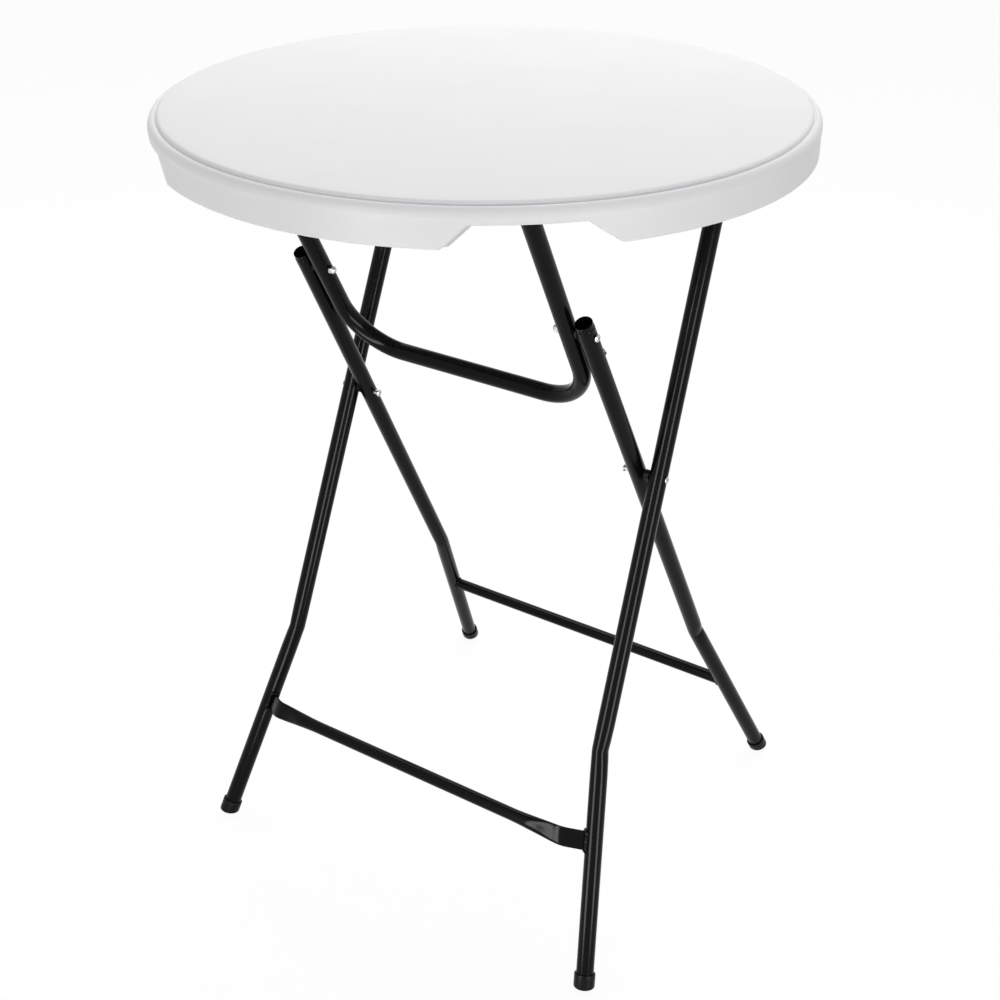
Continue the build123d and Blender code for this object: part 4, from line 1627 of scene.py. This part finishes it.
@dataclass
class InnerFrame(Assembly):
    """The inner legs with their open upper ends, the rear crossbar and the caps.

    Attributes:
        bar_rise: Height of the bar up the legs.
        bar_bite: Share of the leg's radius that the bar's ends stop short of its middle.
        marks: How the legs' bends press them.
        weld_radius: Mean radius of the bead round each end of the bar.
        weld_set_off: How far its middle line is off the bar.
        weld_rise: How far it is off the leg.
        weld_seed: Gives its lumps their places.
        crossing_neck: How far the head of the crossing bolt stands off the leg.
        collar: Length of the narrower rim on the legs' open ends.
        screw_below_hinge: How far down the leg from its hinge the back screw is.
        recess: Reach, width and depth of the cross in that screw.
    """

    bar_rise: float = 199.5
    head_radius: float = 5.0
    head_height: float = 3.0
    bar_bite: float = 0.6
    marks: BendMarks = BendMarks(0.13, 0.05, 11.0)
    weld_radius: float = 1.5
    weld_set_off: float = 0.5
    weld_rise: float = 0.3
    weld_seed: float = 8.4
    crossing_neck: float = 6.5
    collar: float = 7.0
    screw_below_hinge: float = 40.0
    screw_radius: float = 2.5
    screw_length: float = 6.0
    screw_head_radius: float = 7.5
    screw_head_height: float = 2.4
    screw_rim: float = 0.7
    recess: tuple[float, float, float] = (3.0, 1.4, 1.5)

    def legs(self) -> None:
        """Make the bent legs and their caps."""
        sizes, plane = self.sizes, self.sizes.inner_plane()
        end = sizes.hinge_rise + sizes.inner_leg_past_hinge
        corners = [(sizes.inner_half(r), r) for r in (sizes.cap_sole, sizes.inner_knee_rise, end)]
        surface = Surface()
        path, radius = bent_path(corners, sizes.knee_radius), sizes.inner_radius
        sweep_tube(surface, plane, path, radius, sizes.tube_wall, self.marks, collar=self.collar)
        self.shop.place_pair(surface.mesh("inner_tube"), Body.INNER, Slot.TUBE, "inner_leg")
        cap = foot_cap(sizes, plane, sizes.inner_half, sizes.inner_radius)
        self.shop.place_pair(cap.mesh("inner_cap"), Body.INNER, Slot.CAP, "inner_foot")

    def crossbar(self) -> None:
        """Make the rear crossbar and the welds round its ends."""
        sizes, plane = self.sizes, self.sizes.inner_plane()
        half = sizes.inner_half(self.bar_rise) - sizes.inner_radius * self.bar_bite
        across = Vector((1, 0, 0))
        shares = (-1, -0.5, 0, 0.5, 1)
        stations = [Station(Vector((half * s, self.bar_rise, 0)), across) for s in shares]
        surface = Surface()
        sweep_tube(surface, plane, stations, sizes.bar_radius, sizes.tube_wall, segments=36)
        mesh = surface.mesh("inner_crossbar_tube")
        self.shop.place(mesh, Body.INNER, Slot.TUBE, "inner_crossbar")
        weld, path = Surface(), []
        for up, out, _ in circle(sizes.bar_radius + self.weld_set_off, 0, 40):
            leg_wall = math.sqrt(sizes.inner_radius**2 - out**2)
            x = sizes.inner_half(self.bar_rise + up) - leg_wall - self.weld_rise
            path.append(plane @ Vector((x, self.bar_rise + up, out)))
        bead(weld, path, self.weld_radius, self.weld_seed)
        self.shop.place_pair(weld.mesh("inner_weld", 70.0), Body.INNER, Slot.TUBE)

    def fasteners(self) -> None:
        """Make the inner part of the crossing bolt and the screw in the leg's back."""
        sizes, plane = self.sizes, self.sizes.inner_plane()
        fastener = Fastener(sizes, plane @ Vector((0, sizes.inner_crossing, 0)))
        seat = sizes.inner_cross_half - sizes.inner_wall - self.head_radius * sizes.splay
        end = sizes.gap_middle - sizes.hinge_gap / 2
        head = (self.head_radius, self.head_height, self.crossing_neck)
        bolt = fastener.bolt("crossing_bolt", seat, end, *head)
        self.shop.place_pair(bolt, Body.INNER, Slot.ZINC, "cross_bolt")
        wall = sizes.inner_cross_half + sizes.inner_wall + fastener.washer_radius * sizes.splay
        washer = fastener.washer(wall, end).mesh("crossing_washer_inner")
        self.shop.place_pair(washer, Body.INNER, Slot.NYLON, "cross_washer_inner")

        rise = sizes.hinge_rise - self.screw_below_hinge
        seat_at = plane @ Vector((sizes.inner_half(rise), rise, -sizes.inner_radius))
        back = (plane.to_3x3() @ Vector((0, 0, -1))).normalized()
        shank, rim, edge = self.screw_radius, self.screw_rim, 0.3
        radius, height = self.screw_head_radius, self.screw_head_height
        profile = [(shank, -self.screw_length), (shank, 0), (radius - edge, 0), (radius, edge)]
        profile += [(radius, rim), *arc((0, rim), (radius, height - rim), 6, 84, 9), (0, height)]
        screw, recess = Surface(), Surface()
        frame = along(seat_at, back)
        screw.lathe(frame, profile, 40)
        recess.cross(frame @ Matrix.Translation((0, 0, height)), *self.recess)
        mesh = with_recess(screw, recess, "leg_pan_screw")
        self.shop.place_pair(mesh, Body.INNER, Slot.ZINC, "leg_screw")

    def build(self) -> None:
        """Make the whole frame."""
        self.legs()
        self.crossbar()
        self.fasteners()


@dataclass
class SupportHoop(Assembly):
    """The bent hoop that braces the open table, and its hinges with the inner legs.

    Attributes:
        marks: How the bends press the tube.
        bend_step: About how far apart the stations are near a bend.
        nut_height: Height of the hinge nut's hexagon.
        cap_nut_length: Height of that nut with its dome.
    """

    marks: BendMarks = BendMarks(0.03, 0.07, 62.0)
    bend_step: float = 6.0
    head_radius: float = 5.0
    head_height: float = 3.0
    nut_height: float = 5.0
    cap_nut_length: float = 8.5

    def build(self) -> None:
        """Make the hoop and its hinge bolts."""
        sizes, plane = self.sizes, self.sizes.inner_plane()
        top = sizes.inner_length + sizes.tube_end_past_pivot
        bottom = sizes.inner_length - sizes.hoop_reach
        half = sizes.hoop_half
        corners = [(half, top), (half, bottom), (-half, bottom), (-half, top)]
        surface = Surface()
        stations = bent_path(corners, sizes.hoop_bend_radius, self.bend_step)
        sweep_tube(surface, plane, stations, sizes.hoop_radius, sizes.tube_wall, self.marks)
        self.shop.place(surface.mesh("hoop_tube"), Body.HOOP, Slot.TUBE, "support_hoop")

        hinge = Fastener(sizes, plane @ Vector((0, sizes.hinge_rise, 0)))
        lift = self.head_radius * sizes.splay + sizes.hinge_gap
        seat = sizes.inner_hinge_half + sizes.inner_wall + lift
        inner_seat = half - sizes.hoop_radius
        tip = inner_seat - self.nut_height
        bolt = hinge.bolt("hinge_domed_bolt", seat, tip, self.head_radius, self.head_height)
        self.shop.place_pair(bolt, Body.HOOP, Slot.ZINC, "hinge_bolt")
        nut = hinge.nut(inner_seat, -1, self.nut_height, self.cap_nut_length)
        self.shop.place_pair(nut.mesh("hinge_dome_nut", 25.0), Body.HOOP, Slot.ZINC, "hinge_nut")
        wall = sizes.inner_hinge_half - sizes.inner_wall
        washer = hinge.washer(half + sizes.hoop_radius, wall - sizes.hinge_gap)
        self.shop.place_pair(washer.mesh("hinge_spacer"), Body.HOOP, Slot.NYLON, "hinge_washer")


# Studio


WHITE = (1.0, 1.0, 1.0, 1.0)


def rays(tree: bpy.types.NodeTree, *kinds: str) -> bpy.types.NodeSocket:
    """Tell some kinds of rays from the others.

    Args:
        tree: The node tree.
        kinds: Names of the outputs of the light path.

    Returns:
        A socket that gives 1 for those kinds and 0 for the others.
    """
    path = add_node(tree, "ShaderNodeLightPath")
    found = path.outputs[kinds[0]]
    for kind in kinds[1:]:
        links = {0: found, 1: path.outputs[kind]}
        found = add_node(tree, "ShaderNodeMath", {"operation": "MAXIMUM"}, links).outputs["Value"]
    return found


@dataclass(frozen=True)
class Lamp:
    """A soft box that faces the upper part of the table.

    Attributes:
        name: What it's called.
        azimuth: Where it stands, in degrees from the front towards +X.
        elevation: How high it is, in degrees.
        distance: How far away it is, in metres.
        size: Its width and height, in metres.
        watts: Its power.
        matt: Whether it lights matt surfaces.
        gloss: Whether glossy surfaces reflect it.
    """

    name: str
    azimuth: float
    elevation: float
    distance: float
    size: tuple[float, float]
    watts: float
    matt: bool = True
    gloss: bool = True

    def hang(self, middle: Vector) -> None:
        """Hang the lamp round a point, in metres.

        Args:
            middle: The point that it faces.
        """
        data = bpy.data.lights.new(self.name, "AREA")
        data.shape = "RECTANGLE"
        data.size, data.size_y = self.size
        data.energy = self.watts
        lamp = add_object(self.name, data)
        lamp.visible_camera = False
        lamp.visible_diffuse = self.matt
        lamp.visible_glossy = self.gloss
        turn, rise = math.radians(self.azimuth), math.radians(self.elevation)
        level = Vector((math.sin(turn), -math.cos(turn), 0)) * math.cos(rise)
        away = level + Vector((0, 0, math.sin(rise)))
        lamp.matrix_world = along(middle + away * self.distance, away)


@dataclass
class Studio:
    """The floor, the soft light and the camera.

    Attributes:
        turn: Camera azimuth in degrees, towards +X from the front.
        distance: Camera's distance from the table's middle line.
        camera_height: Camera height.
        focal: Focal length in pixels of a 1000 pixel frame.
        yaw, pitch, roll: Where the camera looks, in degrees.
        centre: Where the camera's axis meets the frame, in pixels.
        frame_pixels: Width of the frame in pixels.
        floor_drop: How far the floor is below the feet.
        floor_rings: Radii of the floor's rings.
        floor_paint: Its colour, which takes the shadow.
        floor_glow: Strength of the white that hides its far parts.
        floor_glow_share: How much of that the eye and the reflections get.
        ambient: Strength of the even light from all sides.
        lamp_height: Height of the point that the lamps face, in metres.
    """

    turn: float = 34.3
    distance: float = 1856.75
    camera_height: float = 1584.28
    focal: float = 1537.07
    yaw: float = 34.66
    pitch: float = 30.67
    roll: float = -0.23
    centre: tuple[float, float] = (476.6, 539.43)
    frame_pixels: float = 1000.0
    floor_drop: float = 0.2
    floor_rings: tuple[float, ...] = (0.0, 1500.0, 6000.0, 20000.0)
    floor_paint: str = "#C4C4C4"
    floor_glow: float = 1.1
    floor_glow_share: float = 0.85
    ambient: float = 0.45
    lamp_height: float = 0.9
    # The fills light the white skirt and don't show in the coat. The strips do the opposite:
    # they draw the long glints on the tubes.
    lamps: tuple[Lamp, ...] = (
        Lamp("back_key", 198.0, 56.0, 2.9, (3.0, 2.0), 60.5),
        Lamp("left_fill", -75.0, -8.0, 3.0, (2.0, 0.9), 14.0, gloss=False),
        Lamp("front_fill", 19.0, -8.0, 3.0, (2.0, 0.9), 24.0, gloss=False),
        Lamp("right_fill", 75.0, -8.0, 3.0, (2.0, 0.9), 15.8, gloss=False),
        Lamp("left_strip", 3.2, -8.0, 1.07, (0.3, 1.5), 20.0, matt=False),
        Lamp("right_strip", 68.6, -10.5, 1.53, (0.35, 1.24), 19.0, matt=False),
    )

    def camera(self) -> None:
        """Set the camera that the photo's view was fitted to."""
        data = bpy.data.cameras.new("view")
        data.sensor_fit = "HORIZONTAL"
        data.lens = self.focal * data.sensor_width / self.frame_pixels
        data.shift_x = (self.frame_pixels / 2 - self.centre[0]) / self.frame_pixels
        data.shift_y = (self.centre[1] - self.frame_pixels / 2) / self.frame_pixels
        data.clip_end = 50.0
        camera = add_object("view", data)
        turn, yaw = math.radians(self.turn), math.radians(self.yaw)
        pitch, roll = math.radians(self.pitch), math.radians(self.roll)
        place = Vector((math.sin(turn), -math.cos(turn), 0)) * self.distance
        place.z = self.camera_height
        look = Vector((-math.sin(yaw), math.cos(yaw), 0)) * math.cos(pitch)
        look.z = -math.sin(pitch)
        level = Vector((math.cos(yaw), math.sin(yaw), 0))
        upright = level.cross(look)
        right = level * math.cos(roll) + upright * math.sin(roll)
        up = upright * math.cos(roll) - level * math.sin(roll)
        axes = Matrix((right, up, -look)).transposed().to_4x4()
        axes.translation = place * MM
        camera.matrix_world = axes
        bpy.context.scene.camera = camera

    def floor(self) -> None:
        """Lay a wide white floor that keeps the table's soft shadow."""
        material = bpy.data.materials.new("studio_floor")
        tree = empty_tree(material)
        paint = add_node(tree, "ShaderNodeBsdfDiffuse", {"Color": linear(self.floor_paint)})
        glow = add_node(tree, "ShaderNodeEmission", {"Color": WHITE, "Strength": self.floor_glow})
        seen = rays(tree, "Is Camera Ray", "Is Glossy Ray")
        settings = {"operation": "MULTIPLY", 1: self.floor_glow_share}
        share = add_node(tree, "ShaderNodeMath", settings, {0: seen}).outputs["Value"]
        mix = add_node(
            tree,
            "ShaderNodeMixShader",
            links={0: share, 1: paint.outputs["BSDF"], 2: glow.outputs["Emission"]},
        )
        # From below the floor is clear, so that the underside of the table can be seen
        clear = add_node(tree, "ShaderNodeBsdfTransparent")
        side = add_node(tree, "ShaderNodeNewGeometry").outputs["Backfacing"]
        sided = add_node(
            tree,
            "ShaderNodeMixShader",
            links={0: side, 1: mix.outputs["Shader"], 2: clear.outputs["BSDF"]},
        )
        add_node(tree, "ShaderNodeOutputMaterial", links={"Surface": sided.outputs["Shader"]})
        surface = Surface()
        profile = [(radius, -self.floor_drop) for radius in self.floor_rings]
        surface.lathe(Matrix.Identity(4), profile, 64)
        mesh = surface.mesh("studio_floor")
        if mesh.polygons[0].normal.z < 0:
            mesh.flip_normals()
        mesh.materials.append(material)
        add_object("studio_floor", mesh)

    def world(self) -> None:
        """Give a white background to the eye and an even grey light to the table."""
        world = bpy.data.worlds.new("studio")
        bpy.context.scene.world = world
        tree = empty_tree(world)
        seen = rays(tree, "Is Camera Ray", "Is Transmission Ray", "Is Glossy Ray")
        grey = add_node(tree, "ShaderNodeBackground", {"Color": WHITE, "Strength": self.ambient})
        white = add_node(tree, "ShaderNodeBackground", {"Color": WHITE, "Strength": 1.0})
        mix = add_node(
            tree,
            "ShaderNodeMixShader",
            links={0: seen, 1: grey.outputs["Background"], 2: white.outputs["Background"]},
        )
        add_node(tree, "ShaderNodeOutputWorld", links={"Surface": mix.outputs["Shader"]})

    def light(self) -> None:
        """Hang the lamps round the table."""
        for lamp in self.lamps:
            lamp.hang(Vector((0, 0, self.lamp_height)))

    def build(self) -> None:
        """Set up the whole studio."""
        self.world()
        self.floor()
        self.light()
        self.camera()
        bpy.context.scene.view_settings.view_transform = "Standard"


def main() -> None:
    """Load the frame, build each sub-assembly, light it and note its size."""
    logging.basicConfig(level=logging.INFO, format="%(name)s: %(message)s")
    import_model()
    sizes = TableSizes()
    shop = Workshop({slot: finish.build() for slot, finish in FINISHES.items()})
    for assembly in (MouldedTop, TopHardware, OuterFrame, InnerFrame, SupportHoop):
        assembly(sizes, shop).build()
    Studio().build()
    LOG.info("%d pieces", shop.count)


if __name__ == "__main__":
    main()
